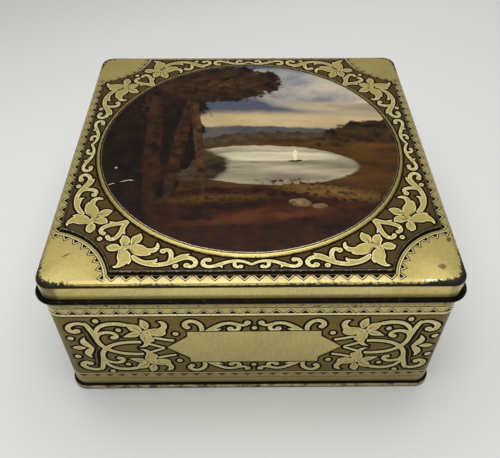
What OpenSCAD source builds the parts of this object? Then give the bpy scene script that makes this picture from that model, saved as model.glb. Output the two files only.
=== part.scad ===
// Square lift-off-lid cookie tin: a drawn lid with a rolled edge, a side wall
// wrapped from one strip, and a base plate double-seamed on. Millimetres, +Z up.
// The origin is the middle of the footprint, on the table.

/* [Tin] */
// Width of the lid across its flat skirts
lid_w = 203; // [150:1:260]
// Height of the lid's flat border above the table
lid_z = 94; // [60:1:140]
// Radius of the lid's upright corners
corner_r = 8; // [6.5:0.5:9]
// Thickness of the tinplate
sheet = 0.3; // [0.25:0.01:0.3]

/* [Lid edge] */
// Radius of the brow between the border and the skirt
brow_r = 2.5; // [1.5:0.1:4]
// Depth of the lid from its border to the bottom of its rolled edge
lid_h = 12.65; // [9:0.05:20]
// Diameter of the rolled edge
curl_d = 2.7; // [2.4:0.1:3.4]
// Angle of the gap left open between the roll and the skirt
curl_gap = 60; // [40:5:90]

/* [Lid panel] */
// Width of the flat border around the raised panel
border_w = 6.2; // [5:0.1:9]
// Height of the raised panel above the border
panel_h = 2; // [1:0.1:2.5]
// How far the panel's step leans in over its height
panel_draft = 1; // [0.5:0.1:1.5]
// Radius of the scoop that frees each corner plate
scoop_r = 37.8; // [30:0.1:40]
// How far the scoop's centre lies outside the lid's side
scoop_out = 2.5; // [0:0.1:4]

/* [Lid medallion] */
// Diameter of the round medallion at its foot
medallion_d = 174.4; // [120:0.1:176]
// Height of the medallion's rim above the panel
rim_h = 1.25; // [0.8:0.05:1.6]
// Width of the medallion's rim
rim_w = 3; // [2:0.1:5]
// Rise of the middle of the medallion above its rim
dome_h = 0.75; // [0.3:0.05:1.2]

/* [Side wall] */
// Running gap between the lid's skirt and the side wall
lid_gap = 0.3; // [0.25:0.05:0.3]
// Depth of the hem folded inside the mouth
hem_h = 4; // [3:0.5:6]
// Gap inside the folded hem
hem_gap = 0.4; // [0.3:0.05:0.5]
// Height of the bead round the wall
bead_z = 69.7; // [30:0.1:75]
// How far the bead stands out of the wall
bead_out = 0.35; // [0.2:0.05:0.4]
// Width of the lock seam that joins the wall's two ends
lock_w = 5; // [4:0.5:7]
// Distance of the lock seam from the middle of the back wall
lock_x = 78; // [60:1:84]

/* [Base] */
// Height of the double seam
seam_h = 3.7; // [3.4:0.1:5]
// How far the double seam stands out of the wall
seam_out = 1.4; // [1.4:0.1:1.8]
// Height of the base panel's top above the table
floor_z = 3.7; // [3.4:0.1:5]

/* [Hidden] */
$fn = 128;
gold = [0.72, 0.66, 0.38];
olive = [0.45, 0.39, 0.23];
steel = [0.55, 0.56, 0.55];

// Distances from the middle of the tin to its upright faces
lid_out = lid_w / 2;
lid_in = lid_out - sheet;
wall_out = lid_in - lid_gap;
wall_in = wall_out - sheet;
seam_face = wall_out + seam_out;
core = lid_out - corner_r;          // to the centre of each rounded corner

// Lid
lid_under = lid_z - sheet;
curl_r = curl_d / 2;
curl_x = lid_in + curl_r;
curl_z = lid_z - lid_h + curl_r;
panel_foot = lid_out - border_w;
panel_z = lid_z + panel_h;
scoop_at = lid_out + scoop_out;
lean = panel_draft / panel_h;        // slope of the panel's step
step_sheet = sheet * sqrt(1 + pow(lean, 2));
medallion_r = medallion_d / 2;
rim_in = medallion_r - rim_w;
rim_z = panel_z + rim_h;
rim_line = [                        // across the medallion, from its foot to its middle
    [medallion_r, panel_z], [medallion_r - 0.7, rim_z - 0.25], [medallion_r - 1.2, rim_z],
    [rim_in + 0.4, rim_z], [rim_in, rim_z - 0.2], [rim_in * 0.72, rim_z + dome_h * 0.5],
    [rim_in * 0.38, rim_z + dome_h * 0.87], [0, rim_z + dome_h]];

// Side wall
hem_r = sheet + hem_gap / 2;
hem_z = lid_z - brow_r;             // level with the brow's centre, so lid_gap clears it all round
hem_in = wall_out - 2 * hem_r;
bead_half = 0.7;                    // half the bead's width on the wall
bead_r = (pow(bead_half, 2) + pow(bead_out, 2)) / (2 * bead_out);
lock_deep = 2 * sheet;
groove = sheet / 2;

// Double seam: the sheets from inside to outside, and the gaps between them
chuck_gap = 0.05;
hook_gap = 0.15;
chuck_out = wall_in - chuck_gap;
cover_hook = wall_out + hook_gap;
body_hook = cover_hook + sheet + hook_gap;
fold_r = (body_hook + sheet - wall_in) / 2;
fold_x = wall_in + fold_r;
seam_r = 0.75;                      // roll of the seam's bottom edges
fold_z = sheet + 0.2 + fold_r;      // clear of the base's turned-out sheet
cap_r = (seam_face - cover_hook) / 2;
cap_z = seam_h - cap_r;
hook_foot = fold_z + 0.3;
hook_top = cap_z - 0.35;
knee_r = 0.8;                       // roll from the chuck wall into the floor

// A thin strip of sheet standing at distance x, from height z0 to z1
module strip(x, z0, z1) {
    translate([x, z0]) square([sheet, z1 - z0]);
}

// The part of a sheet bent to outer radius r about [x, z] that lies in the
// quadrants named by their signs, such as [1, 1] for outside and above
module bend(x, z, r, signs) {
    translate([x, z]) intersection() {
        difference() {
            circle(r, $fn = 32);
            circle(r - sheet, $fn = 32);
        }
        for (s = signs) translate([min(s[0], 0) * r, min(s[1], 0) * r]) square(r);
    }
}

// Carries a profile, drawn as [distance from the middle, height], round the
// tin: along its four sides and about its four upright corners
module around() {
    for (quarter = [0 : 3]) rotate(90 * quarter) {
        translate([0, core, 0]) rotate([90, 0, 0]) linear_extrude(2 * core) children();
        translate([core, core, 0]) rotate_extrude(angle = 90) translate([-core, 0]) children();
    }
}

// A flat plate with rounded corners concentric with the tin's own
module plate(half, z, thick) {
    translate([0, 0, z]) linear_extrude(thick) {
        square([2 * half, 2 * core], center = true);
        square([2 * core, 2 * half], center = true);
        for (x = [-core, core], y = [-core, core]) translate([x, y]) circle(half - core);
    }
}

// The open roll at the bottom of the skirt
module curl_profile() {
    difference() {
        translate([curl_x, curl_z]) circle(curl_r, $fn = 32);
        translate([curl_x, curl_z]) circle(curl_r - sheet, $fn = 32);
        translate([curl_x, curl_z])
            polygon([[0, 0], [-2 * curl_r, 0], [-2 * curl_r, 2 * curl_r * tan(curl_gap)]]);
    }
}

module lid_edge_profile() {
    bend(lid_out - brow_r, lid_z - brow_r, brow_r, [[1, 1]]);
    strip(lid_in, curl_z, lid_z - brow_r);
    curl_profile();
}

// The panel as a solid block from height z0 to its top, its leaning sides inset
module panel_block(inset, z0, top) {
    foot = panel_foot - inset - (z0 - lid_z) * lean;
    tip = foot - (top - z0) * lean;
    scoop = scoop_r + panel_foot - foot;
    side = [[-foot, z0], [foot, z0], [tip, top], [-tip, top]];
    difference() {
        intersection() {
            translate([0, lid_out, 0]) rotate([90, 0, 0]) linear_extrude(lid_w) polygon(side);
            translate([-lid_out, 0, 0]) rotate([90, 0, 90]) linear_extrude(lid_w) polygon(side);
        }
        for (x = [-scoop_at, scoop_at], y = [-scoop_at, scoop_at]) translate([x, y, z0])
            cylinder(h = top - z0, r1 = scoop, r2 = scoop + foot - tip);
    }
}

// The medallion as a solid of revolution whose skin lies deep below the outer one
module medallion_block(deep) {
    shrink = 1 - deep * 0.7 / medallion_r;
    foot_z = lid_z + panel_h - sheet / 2 - deep;
    rotate_extrude() polygon(concat(
        [[0, foot_z], [medallion_r * shrink, foot_z]],
        [for (p = rim_line) [p[0] * shrink, p[1] - deep]]));
}

// Drawn lid: skirt and roll carried round, flat border, raised panel, medallion
module lid() {
    color(gold) union() {
        around() lid_edge_profile();
        difference() {
            union() {
                plate(lid_out - brow_r, lid_under, sheet);
                panel_block(0, lid_z, panel_z);
                medallion_block(0);
            }
            panel_block(step_sheet, lid_under - 1, panel_z - sheet);
            medallion_block(sheet);
        }
    }
}

module wall_profile() {
    difference() {
        union() {
            strip(wall_in, fold_z, hem_z);
            intersection() {
                translate([wall_out + bead_out - bead_r, bead_z]) circle(bead_r, $fn = 32);
                translate([wall_in, bead_z - bead_r]) square(2 * bead_r);
            }
        }
        translate([wall_out + bead_out - bead_r, bead_z]) circle(bead_r - sheet, $fn = 32);
    }
    bend(fold_x, fold_z, fold_r, [[-1, -1], [1, -1]]);
    strip(body_hook, fold_z, hook_top);
    bend(wall_out - hem_r, hem_z, hem_r, [[-1, 1], [1, 1]]);
    strip(hem_in, hem_z - hem_h, hem_z);
}

// Side wall: one strip, hemmed at the mouth, flanged at the foot and lock-seamed
module side_wall() {
    lock_z = floor_z + 1;
    lock_h = hem_z - hem_h - 0.5 - lock_z;
    color(olive) difference() {
        union() {
            around() wall_profile();
            translate([lock_x, wall_in - lock_deep, lock_z]) cube([lock_w, lock_deep + groove, lock_h]);
        }
        translate([lock_x, wall_out - groove, seam_h + 0.5])
            cube([groove * 2, 2 * bead_out + groove, lid_z]);
    }
}

module base_edge_profile() {
    bend(chuck_out - knee_r, floor_z - knee_r, knee_r, [[1, 1]]);
    strip(chuck_out - sheet, seam_r, floor_z - knee_r);
    bend(chuck_out - sheet + seam_r, seam_r, seam_r, [[-1, -1]]);
    translate([chuck_out - sheet + seam_r, 0])
        square([seam_face - chuck_out + sheet - 2 * seam_r, sheet]);
    bend(seam_face - seam_r, seam_r, seam_r, [[1, -1]]);
    strip(seam_face - sheet, seam_r, cap_z);
    bend(seam_face - cap_r, cap_z, cap_r, [[-1, 1], [1, 1]]);
    strip(cover_hook, hook_foot, cap_z);
}

// Base plate: a sunk floor whose edge turns out and up round the wall's flange
module base_plate() {
    color(steel) union() {
        around() base_edge_profile();
        plate(chuck_out - knee_r, floor_z - sheet, sheet);
    }
}

lid();
side_wall();
base_plate();
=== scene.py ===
"""Square printed cookie tin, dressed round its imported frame. The print is drawn in millimetres."""
import logging
import math
from dataclasses import dataclass, field
from enum import Enum
from functools import cached_property
from typing import Any, Callable, Iterable, Optional, Sequence, Union

import bpy
from mathutils import Matrix, Vector, geometry, kdtree


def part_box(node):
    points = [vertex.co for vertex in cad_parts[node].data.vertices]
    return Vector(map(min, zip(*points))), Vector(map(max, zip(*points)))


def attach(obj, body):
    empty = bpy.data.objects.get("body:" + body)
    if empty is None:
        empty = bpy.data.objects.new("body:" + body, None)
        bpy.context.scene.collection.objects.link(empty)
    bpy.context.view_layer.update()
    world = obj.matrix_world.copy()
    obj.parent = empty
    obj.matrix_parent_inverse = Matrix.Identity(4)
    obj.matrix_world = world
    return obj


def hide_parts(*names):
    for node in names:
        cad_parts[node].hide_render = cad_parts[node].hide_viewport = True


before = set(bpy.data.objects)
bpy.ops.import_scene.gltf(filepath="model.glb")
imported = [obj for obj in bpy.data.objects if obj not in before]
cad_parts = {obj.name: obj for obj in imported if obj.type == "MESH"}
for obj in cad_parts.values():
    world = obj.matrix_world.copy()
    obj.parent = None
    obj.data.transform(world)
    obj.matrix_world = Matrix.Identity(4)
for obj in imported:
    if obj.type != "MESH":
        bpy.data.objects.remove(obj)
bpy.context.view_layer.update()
LID_LOW, LID_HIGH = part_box("lid")
BASE_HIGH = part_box("base_plate")[1]

MM = 0.001
log = logging.getLogger("cookie_tin")

Point = tuple[float, float]
Knot = tuple[float, float, float]
Placer = Callable[[float, float, float], Vector]
Feed = Union[bpy.types.Node, bpy.types.NodeSocket, float, Sequence[float]]


# ---------------------------------------------------------------- sizes


@dataclass(frozen=True)
class TinSizes:
    """Sizes of the tin in millimetres. What the frame holds is read from it."""

    sheet: float = 0.3
    corner: float = 8.0
    brow: float = 2.5
    lid_depth: float = 12.65
    curl: float = 2.7
    panel_rise: float = 2.0
    border: float = 6.2
    scoop: float = 37.8
    scoop_out: float = 2.5
    medallion: float = 87.2
    picture: float = 84.2
    hem: float = 4.0
    hem_radius: float = 0.5
    bead: float = 69.7
    bead_half: float = 0.7
    bead_out: float = 0.35
    roll_out: float = LID_HIGH.x / MM
    lid_low: float = LID_LOW.z / MM
    dome_top: float = LID_HIGH.z / MM
    seam_out: float = BASE_HIGH.x / MM
    seam_top: float = BASE_HIGH.z / MM

    @property
    def lid_half(self) -> float:
        """Distance from the middle to the outside of the lid's skirt."""
        return self.roll_out - self.curl + self.sheet

    @property
    def lid_top(self) -> float:
        """Height of the flat border."""
        return self.lid_low + self.lid_depth

    @property
    def core(self) -> float:
        """Distance from the middle to the centre of each rounded corner."""
        return self.lid_half - self.corner

    @property
    def wall_half(self) -> float:
        """Distance from the middle to the outside of the side wall."""
        return self.lid_half - 2 * self.sheet

    @property
    def panel_foot(self) -> float:
        """Distance from the middle to the foot of the raised panel's step."""
        return self.lid_half - self.border

    @property
    def scoop_at(self) -> float:
        """Distance, along x and y, to the centre of each corner scoop."""
        return self.lid_half + self.scoop_out

    @property
    def mouth(self) -> float:
        """Height of the centre of the mouth's hem."""
        return self.lid_top - self.brow


SIZES = TinSizes()


# ---------------------------------------------------------------- nodes and finishes


def linear(code: str) -> tuple[float, float, float, float]:
    """Turns an sRGB hex colour to linear.

    Args:
        code: six hex digits, such as "c3b269".
    Returns:
        Red, green, blue and an alpha of 1.
    """
    parts = [int(code[i:i + 2], 16) / 255 for i in (0, 2, 4)]
    turned = [p / 12.92 if p <= 0.04045 else ((p + 0.055) / 1.055) ** 2.4 for p in parts]
    return (turned[0], turned[1], turned[2], 1.0)


@dataclass
class Recipe:
    """A tree of shader nodes, and short ways to add what the finishes are mixed from."""

    tree: bpy.types.NodeTree
    shader: bpy.types.Node

    @cached_property
    def place(self) -> bpy.types.NodeSocket:
        """The Object coordinates."""
        return self.add("TexCoord").outputs["Object"]

    def plug(self, socket: bpy.types.NodeSocket, feed: Feed) -> None:
        """Feeds an input from a node's first output or from a socket, or sets it to a value."""
        if isinstance(feed, bpy.types.Node):
            feed = feed.outputs[0]
        if isinstance(feed, bpy.types.NodeSocket):
            self.tree.links.new(feed, socket)
        else:
            socket.default_value = feed

    def add(self, kind: str, inputs: Optional[dict] = None, **settings: Any) -> bpy.types.Node:
        """Adds a node.

        Args:
            kind: its type without the ShaderNode prefix, such as "Math".
            inputs: what feeds its inputs, by name or index.
            settings: its own properties, such as operation.
        Returns:
            The new node.
        """
        node = self.tree.nodes.new("ShaderNode" + kind)
        for key, value in settings.items():
            setattr(node, key, value)
        for key, feed in (inputs or {}).items():
            self.plug(node.inputs[key], feed)
        return node

    def math(self, operation: str, *inputs: Feed) -> bpy.types.Node:
        """Reckons with numbers."""
        return self.add("Math", dict(enumerate(inputs)), operation=operation)

    def vector(self, operation: str, *inputs: Feed) -> bpy.types.Node:
        """Reckons with vectors."""
        return self.add("VectorMath", dict(enumerate(inputs)), operation=operation)

    def measure(self, operation: str, *inputs: Feed) -> bpy.types.NodeSocket:
        """Reckons a number from vectors, such as a length."""
        return self.vector(operation, *inputs).outputs["Value"]

    def height(self) -> bpy.types.NodeSocket:
        """The height, in metres."""
        return self.add("SeparateXYZ", {0: self.place}).outputs[2]

    def noise(
        self, size: float, detail: float, rough: float = 0.5, at: Optional[Feed] = None
    ) -> bpy.types.Node:
        """Adds noise.

        Args:
            size: how large its largest lumps are, in millimetres.
            detail: how many finer layers it has.
            rough: how strong the finer layers are.
            at: its coordinates, or None for the Object coordinates.
        Returns:
            The noise, from 0 to 1.
        """
        place = self.place if at is None else at
        scale = 1 / (size * MM)
        return self.add(
            "TexNoise", {"Vector": place, "Scale": scale, "Detail": detail, "Roughness": rough}
        )

    def span(
        self, value: Feed, start: float, end: float, low: float = 0.0, high: float = 1.0, eased: bool = False
    ) -> bpy.types.Node:
        """Turns one span of values into another.

        Args:
            value: the value.
            start: the value that gives low.
            end: the value that gives high; beyond the two it stays level.
            low: the result at start.
            high: the result at end.
            eased: whether it leaves and arrives gently.
        Returns:
            The result.
        """
        return self.add(
            "MapRange", {"Value": value, "From Min": start, "From Max": end, "To Min": low, "To Max": high},
            interpolation_type="SMOOTHSTEP" if eased else "LINEAR",
        )

    def shaded(self, code: str, shade: Feed) -> bpy.types.Node:
        """A colour made lighter or darker."""
        return self.add("VectorMath", {0: linear(code)[:3], "Scale": shade}, operation="SCALE")

    def blend(self, mask: Feed, under: Feed, over: Feed) -> bpy.types.NodeSocket:
        """Lays one colour over another where the mask is 1."""
        return self.add("Mix", {0: mask, 6: under, 7: over}, data_type="RGBA").outputs[2]

    def relief(self, height: Feed, strength: float, deep: float) -> None:
        """Roughens the surface by deep millimetres."""
        bump = self.add("Bump", {"Strength": strength, "Distance": deep * MM, "Height": height})
        self.plug(self.shader.inputs["Normal"], bump)

    def set(self, inputs: dict[str, Feed]) -> None:
        """Feeds the shader's own inputs."""
        for key, feed in inputs.items():
            self.plug(self.shader.inputs[key], feed)


class Zone(Enum):
    """Which part of the tin a finish lies on, and so where it is worn."""

    LID = "lid"
    PANEL = "panel"
    WALL = "wall"


@dataclass(frozen=True)
class Finish:
    """A surface finish. Its material is made once and shared."""

    name: str

    def material(self) -> bpy.types.Material:
        """The finish's Blender material, made the first time it is asked for."""
        made = bpy.data.materials.get(self.name)
        if made:
            return made
        made = bpy.data.materials.new(self.name)
        made.use_nodes = True
        nodes = made.node_tree.nodes
        nodes.clear()
        mix = Recipe(made.node_tree, nodes.new("ShaderNodeBsdfPrincipled"))
        mix.add("OutputMaterial", {"Surface": mix.shader})
        self.paint(mix)
        return made

    def paint(self, mix: Recipe) -> None:
        """Sets up the shader; each finish has its own."""
        raise NotImplementedError


def square_reach(mix: Recipe) -> bpy.types.NodeSocket:
    """The distance from the square of the corners' centres out to a point, in metres."""
    core = SIZES.core * MM
    past = mix.vector("SUBTRACT", mix.vector("ABSOLUTE", mix.place), (core, core, 1.0))
    return mix.measure("LENGTH", mix.vector("MAXIMUM", past, (0.0, 0.0, 0.0)))


def blot(mix: Recipe, point: Feed, centre: Point, radii: Point, turn: float) -> bpy.types.NodeSocket:
    """How far out a point lies in a turned ellipse: 0 at its centre and 1 on its edge.

    Args:
        mix: the nodes it is added to.
        point: the coordinates, whose z doesn't count.
        centre: the ellipse's centre.
        radii: its two radii.
        turn: how far it is turned, in degrees.
    Returns:
        The socket that holds the distance.
    """
    endless = 1e6
    moved = mix.vector("SUBTRACT", point, (*centre, 0.0))
    turned = mix.add(
        "VectorRotate", {"Vector": moved, "Angle": math.radians(turn)}, rotation_type="Z_AXIS"
    )
    return mix.measure("LENGTH", mix.vector("DIVIDE", turned, (*radii, endless)))


@dataclass(frozen=True)
class PrintedTinplate(Finish):
    """Ink or gold varnish on tinplate, stoved and varnished: a satin skin over bright metal.

    The metal under the gold warms what it reflects; where the skin is rubbed
    through along the edges the dull dark steel shows.
    """

    ink: str
    metal: float
    rough: float
    gloss: float
    zone: Zone
    rim: Optional[str] = None
    mottle: float = 0.16
    coat: float = 0.0
    bare: str = "211d14"

    def paint(self, mix: Recipe) -> None:
        """Mottled ink, a paler rim on ornament, painted shade and light by height, and wear where the zone
        is rubbed.
        """
        # Stoved varnish pools in soft patches.
        pools = mix.noise(25, 5.0)
        # Grime and fine scuffs.
        scuffs = mix.noise(1.5, 4.0)
        # The sheet's grain stands upright on the sides.
        upright = mix.add("Mapping", {"Vector": mix.place, "Scale": (1.0, 1.0, 0.05)})
        grain = mix.noise(0.5, 1.0, at=upright)
        total = mix.math("ADD", mix.math("ADD", pools, scuffs), grain)
        colour = mix.shaded(self.ink, mix.span(total, 1.15, 1.85, 1 - self.mottle, 1 + self.mottle))
        if self.rim:
            # The litho lightens the first half millimetre inside each gold shape.
            depth = mix.add("Attribute", attribute_name="depth").outputs["Fac"]
            colour = mix.blend(mix.span(depth, 0.1, 0.75, eased=True), linear(self.rim), colour)
        # Off the panel: painted shade and painted light by height, with dirt.
        if self.zone is not Zone.PANEL:
            colour = self.shade_and_dirt_by_height(mix, colour)
        if self.zone is Zone.LID:
            colour = self.marks(mix, colour)
        mask = self.worn(mix)
        # The glossy top varnish goes with the skin.
        kept = mix.math("SUBTRACT", 1.0, mask)
        mix.set({
            "Base Color": mix.blend(mask, colour, linear(self.bare)),
            "Roughness": mix.span(mask, 0.0, 1.0, self.rough, 0.5),
            "Coat Weight": mix.math("MULTIPLY", kept, self.varnish(mix)),
            "Coat Roughness": 0.12,
            "Metallic": self.metal,
            "Specular IOR Level": self.gloss,
        })
        mix.relief(scuffs, 0.12, 0.05)

    def shade_and_dirt_by_height(self, mix: Recipe, colour: Feed) -> bpy.types.Node:
        """Darkens and lightens the finish by height. On the wall: near black just over the seam and darker
        just under the lid's roll, painted shade with dirt, and darker towards the bottom over the lower
        band. On the lid: painted shade at the skirt's foot behind the roll, the skirt painted lighter than
        the border as painted light, and a yellowed tone.
        """
        low, high = SIZES.seam_top, SIZES.lid_low
        steps = {
            # The wall: near black over the seam and dark under the roll, painted shade with dirt.
            Zone.WALL: (
                (low + 0.4, 0.02), (low + 1.1, 0.4), (low + 3, 0.54), (low + 11.9, 0.58),
                (low + 13, 0.82), (low + 50, 1.0), (high - 7, 1.0), (high - 4, 0.6),
                (high - 0.8, 0.4), (high + 1, 0.3),
            ),
            # The lid: 0.4 at the skirt's foot is painted shade behind the roll; over 1 on the skirt is
            # painted light.
            Zone.LID: ((high, 0.4), (high + 2.6, 1.2), (high + 9.6, 1.16), (high + 11.3, 0.78)),
        }[self.zone]
        ramp = mix.add("ValToRGB", {0: mix.span(mix.height(), 0.0, SIZES.lid_top * MM)})
        stops = ramp.color_ramp.elements
        while len(stops) < len(steps):
            stops.new(0.5)
        for stop, (height, tone) in zip(stops, steps):
            stop.position = height / SIZES.lid_top
            # Near the foot the darkening, dirt with painted shade, is yellower.
            blue = 0.87 if height < low + 12 else 0.95
            stop.color = (tone, tone * 0.99, tone * blue, 1.0)
        return mix.vector("MULTIPLY", colour, ramp)

    def varnish(self, mix: Recipe) -> bpy.types.Node:
        """How thick the top varnish is: full along the borders, handled thin on the corner plates."""
        at = SIZES.scoop_at * MM
        flat = mix.vector("MULTIPLY", mix.vector("ABSOLUTE", mix.place), (1.0, 1.0, 0.0))
        away = mix.measure("DISTANCE", flat, (at, at, 0.0))
        return mix.span(away, (SIZES.scoop - 2) * MM, (SIZES.scoop + 4) * MM, self.coat / 5, self.coat)

    @staticmethod
    def marks(mix: Recipe, colour: Feed) -> Feed:
        """Adds the lid's few separate marks: a scratch, a rust spot, bare flecks and stains."""
        fray = mix.noise(1.5, 4.0)
        # Each mark's centre and radii in millimetres, its turn in degrees, its colour and its strength.
        for centre, radii, turn, code, strength in (
            ((-88.8, -82.6), (2.8, 0.4), 35, "352c1a", 0.9),
            ((90.2, -91.4), (2.0, 1.9), 0, "6b4a20", 0.85),
            ((-95.5, -101.5), (4.5, 2.0), 0, "4a3819", 0.75),
            ((95.2, -101.3), (2.2, 1.2), 0, "4a3819", 0.4),
            ((99.4, -98.9), (1.8, 1.8), 0, "33240f", 0.7),
            ((84.0, -99.4), (5.0, 0.55), 2, "efe9cf", 0.75),
            ((95.5, -62.0), (1.6, 2.4), 12, "3b3018", 0.7),
            ((97.5, -74.0), (1.2, 1.8), 0, "2f2712", 0.8),
        ):
            middle, reaches = [c * MM for c in centre], [r * MM for r in radii]
            ragged = mix.math("ADD", fray, blot(mix, mix.place, middle, reaches, -turn))
            mask = mix.span(ragged, 1.65, 1.15, 0.0, strength, eased=True)
            colour = mix.blend(mask, colour, linear(code))
        return colour

    def worn(self, mix: Recipe) -> bpy.types.Node:
        """Where the skin is rubbed through, from 0 to 1."""
        # Chips from under half a millimetre to a few millimetres.
        chips = mix.noise(1.7, 6.0, 0.75)
        rub = {Zone.LID: self.lid_rub, Zone.PANEL: self.panel_rub, Zone.WALL: self.wall_rub}[self.zone]
        return mix.span(mix.math("ADD", chips, rub(mix)), 0.78, 0.86, eased=True)

    @staticmethod
    def lid_rub(mix: Recipe) -> bpy.types.Node:
        """How much the border, brow and skirt are rubbed: most on the brow and at the corners."""
        core, half, top = SIZES.core, SIZES.lid_half, SIZES.lid_top
        edge = mix.span(square_reach(mix), (half - 4.2 - core) * MM, (half - 0.8 - core) * MM, 0.0, 0.56)
        # Handling wears some stretches of the edge more than others.
        edge = mix.math("MULTIPLY", edge, mix.noise(40, 2.0))
        # The brow's steep side is rubbed bare all round.
        up = mix.height()
        low = mix.span(up, (top - 2.35) * MM, (top - 2.05) * MM)
        high = mix.span(up, (top - 0.8) * MM, (top - 1.4) * MM)
        brow = mix.math("MULTIPLY", mix.math("MULTIPLY", low, high), 0.5)
        sides = mix.measure("DOT_PRODUCT", mix.vector("ABSOLUTE", mix.place), (1.0, 1.0, 0.0))
        corner = mix.span(sides, 2 * (half - 13) * MM, 2 * (half - 2.5) * MM, 0.0, 0.28)
        on_top = mix.span(up, (top - 3.2) * MM, (top - 1) * MM)
        return mix.math("MULTIPLY_ADD", mix.math("ADD", edge, corner), on_top, brow)

    @staticmethod
    def panel_rub(mix: Recipe) -> bpy.types.Node:
        """How much the raised panel is rubbed: along its step and where its height changes."""
        top = SIZES.lid_top + SIZES.panel_rise
        up = mix.height()
        under = mix.span(up, (top - 0.01) * MM, (top - 0.12) * MM, 0.0, 0.27)
        above = mix.span(up, (top - 1.1) * MM, (top - 0.7) * MM)
        return mix.math("MULTIPLY", under, above)

    @staticmethod
    def wall_rub(mix: Recipe) -> bpy.types.Node:
        """How much the side wall is rubbed: just above the seam, and where the lid's roll slides."""
        up = mix.height()
        low = mix.span(up, (SIZES.seam_top + 3) * MM, (SIZES.seam_top + 0.2) * MM, 0.0, 0.22)
        high = mix.span(up, (SIZES.lid_low - 7.6) * MM, (SIZES.lid_low - 6) * MM, 0.0, 0.245)
        return mix.math("ADD", low, high)


@dataclass(frozen=True)
class RubbedSteel(Finish):
    """The rolled edges: gold varnish rubbed down to dark, oily steel, with patches left."""

    steel: str
    left: str
    amount: float
    band: Optional[tuple[float, float]] = None

    def paint(self, mix: Recipe) -> None:
        """Dark steel with streaks of the old gold."""
        # Rubbing leaves streaks a few millimetres long.
        level = mix.noise(4, 6.0, 0.7)
        if self.band:
            # Between two heights a seam's outer face is scuffed bright, partly a painted highlight; above
            # and below them it is darker, and black above with dirt and painted shade.
            middle, half = sum(self.band) / 2, (self.band[1] - self.band[0]) / 2
            away = mix.math("ABSOLUTE", mix.math("SUBTRACT", mix.height(), middle * MM))
            scuff_and_sheen = mix.span(away, (half + 0.15) * MM, (half - 0.15) * MM, -0.4, 0.1)
            level = mix.math("ADD", level, scuff_and_sheen)
        gold = mix.span(level, 0.6 - 0.3 * self.amount, 0.78 - 0.3 * self.amount)
        fine = mix.noise(0.6, 3.0)
        mix.set({
            "Base Color": mix.blend(gold, linear(self.steel), linear(self.left)),
            "Roughness": mix.span(fine, 0.0, 1.0, 0.28, 0.5),
            "Metallic": 0.75,
            "Specular IOR Level": 0.2,
        })
        mix.relief(fine, 0.2, 0.05)


@dataclass(frozen=True)
class InsideTinplate(Finish):
    """Bare tinplate inside the tin: pale grey metal with a faint rolling grain and spangle."""

    grey: str = "a9a79c"

    def paint(self, mix: Recipe) -> None:
        """Soft spangle and a grain drawn out along x."""
        # The rolling grain is 25 times as long as it is wide.
        long = mix.add("Mapping", {"Vector": mix.place, "Scale": (0.04, 1.0, 1.0)})
        grain = mix.noise(0.4, 2.0, at=long)
        # Tin spangle, about 6 mm.
        spangle = mix.add("TexVoronoi", {"Vector": mix.place, "Scale": 1 / (6 * MM)})
        tone = mix.math("MULTIPLY_ADD", spangle.outputs["Color"], grain, 0.1)
        mix.set({
            "Base Color": mix.shaded(self.grey, mix.span(tone, 0.0, 1.0, 0.88, 1.06)),
            "Roughness": mix.span(grain, 0.0, 1.0, 0.3, 0.45),
            "Metallic": 0.8,
        })


@dataclass(frozen=True)
class Patch:
    """One patch of the landscape: a ragged ellipse filled with two mottled colours.

    Lengths are in radii of the picture.
    """

    centre: Point
    radii: Point
    dark: str
    light: str
    ragged: float = 0.1
    lumps: float = 6.0
    soft: float = 0.05
    turn: float = 0.0
    drawn_out: float = 1.0
    cover: float = 1.0


@dataclass(frozen=True)
class VarnishedLandscape(Finish):
    """The medallion's picture: a plain lake landscape in dark oil colours under glossy varnish."""

    patches: tuple[Patch, ...] = ()
    sky: str = "454a57"

    def paint(self, mix: Recipe) -> None:
        """Lays the patches from the far sky to the near bank."""
        shrink = 1 / (SIZES.picture * MM)
        flat = mix.add("Mapping", {"Vector": mix.place, "Scale": (shrink, shrink, 0.0)})
        # Brushwork: every outline is pushed about by strokes a few millimetres long.
        brush = mix.add("TexNoise", {"Vector": flat, "Scale": 16.0, "Detail": 3.0})
        push = mix.vector("SUBTRACT", brush.outputs["Color"], (0.5, 0.5, 0.5))
        point = mix.vector("MULTIPLY_ADD", push, (0.03, 0.03, 0.0), flat)
        shown: Feed = linear(self.sky)
        for patch in self.patches:
            shown = self.lay(mix, patch, point, shown)
        # Crazed varnish, cells about 2 mm.
        craze = mix.noise(2, 4.0)
        mix.set({
            "Base Color": shown,
            "Roughness": mix.span(craze, 0.0, 1.0, 0.22, 0.42),
            "Specular IOR Level": 0.11,
        })
        mix.relief(craze, 0.1, 0.04)

    @staticmethod
    def lay(mix: Recipe, patch: Patch, point: Feed, under: Feed) -> bpy.types.NodeSocket:
        """Lays one patch over what is already painted.

        Args:
            mix: the nodes it is added to.
            patch: the patch.
            point: the picture's coordinates.
            under: the colour so far.
        Returns:
            The new colour.
        """
        reach = blot(mix, point, patch.centre, patch.radii, patch.turn)
        stretch = mix.add("Mapping", {"Vector": point, "Scale": (1 / patch.drawn_out, 1.0, 1.0)})
        lumps = mix.add(
            "TexNoise", {"Vector": stretch, "Scale": patch.lumps, "Detail": 5.0, "Roughness": 0.6}
        )
        edge = mix.math("MULTIPLY_ADD", lumps, patch.ragged * 2, reach)
        rim = patch.cover + patch.ragged
        mask = mix.span(edge, rim + patch.soft, rim - patch.soft, eased=True)
        fill = mix.blend(mix.span(lumps, 0.35, 0.68), linear(patch.dark), linear(patch.light))
        return mix.blend(mask, under, fill)


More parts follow.
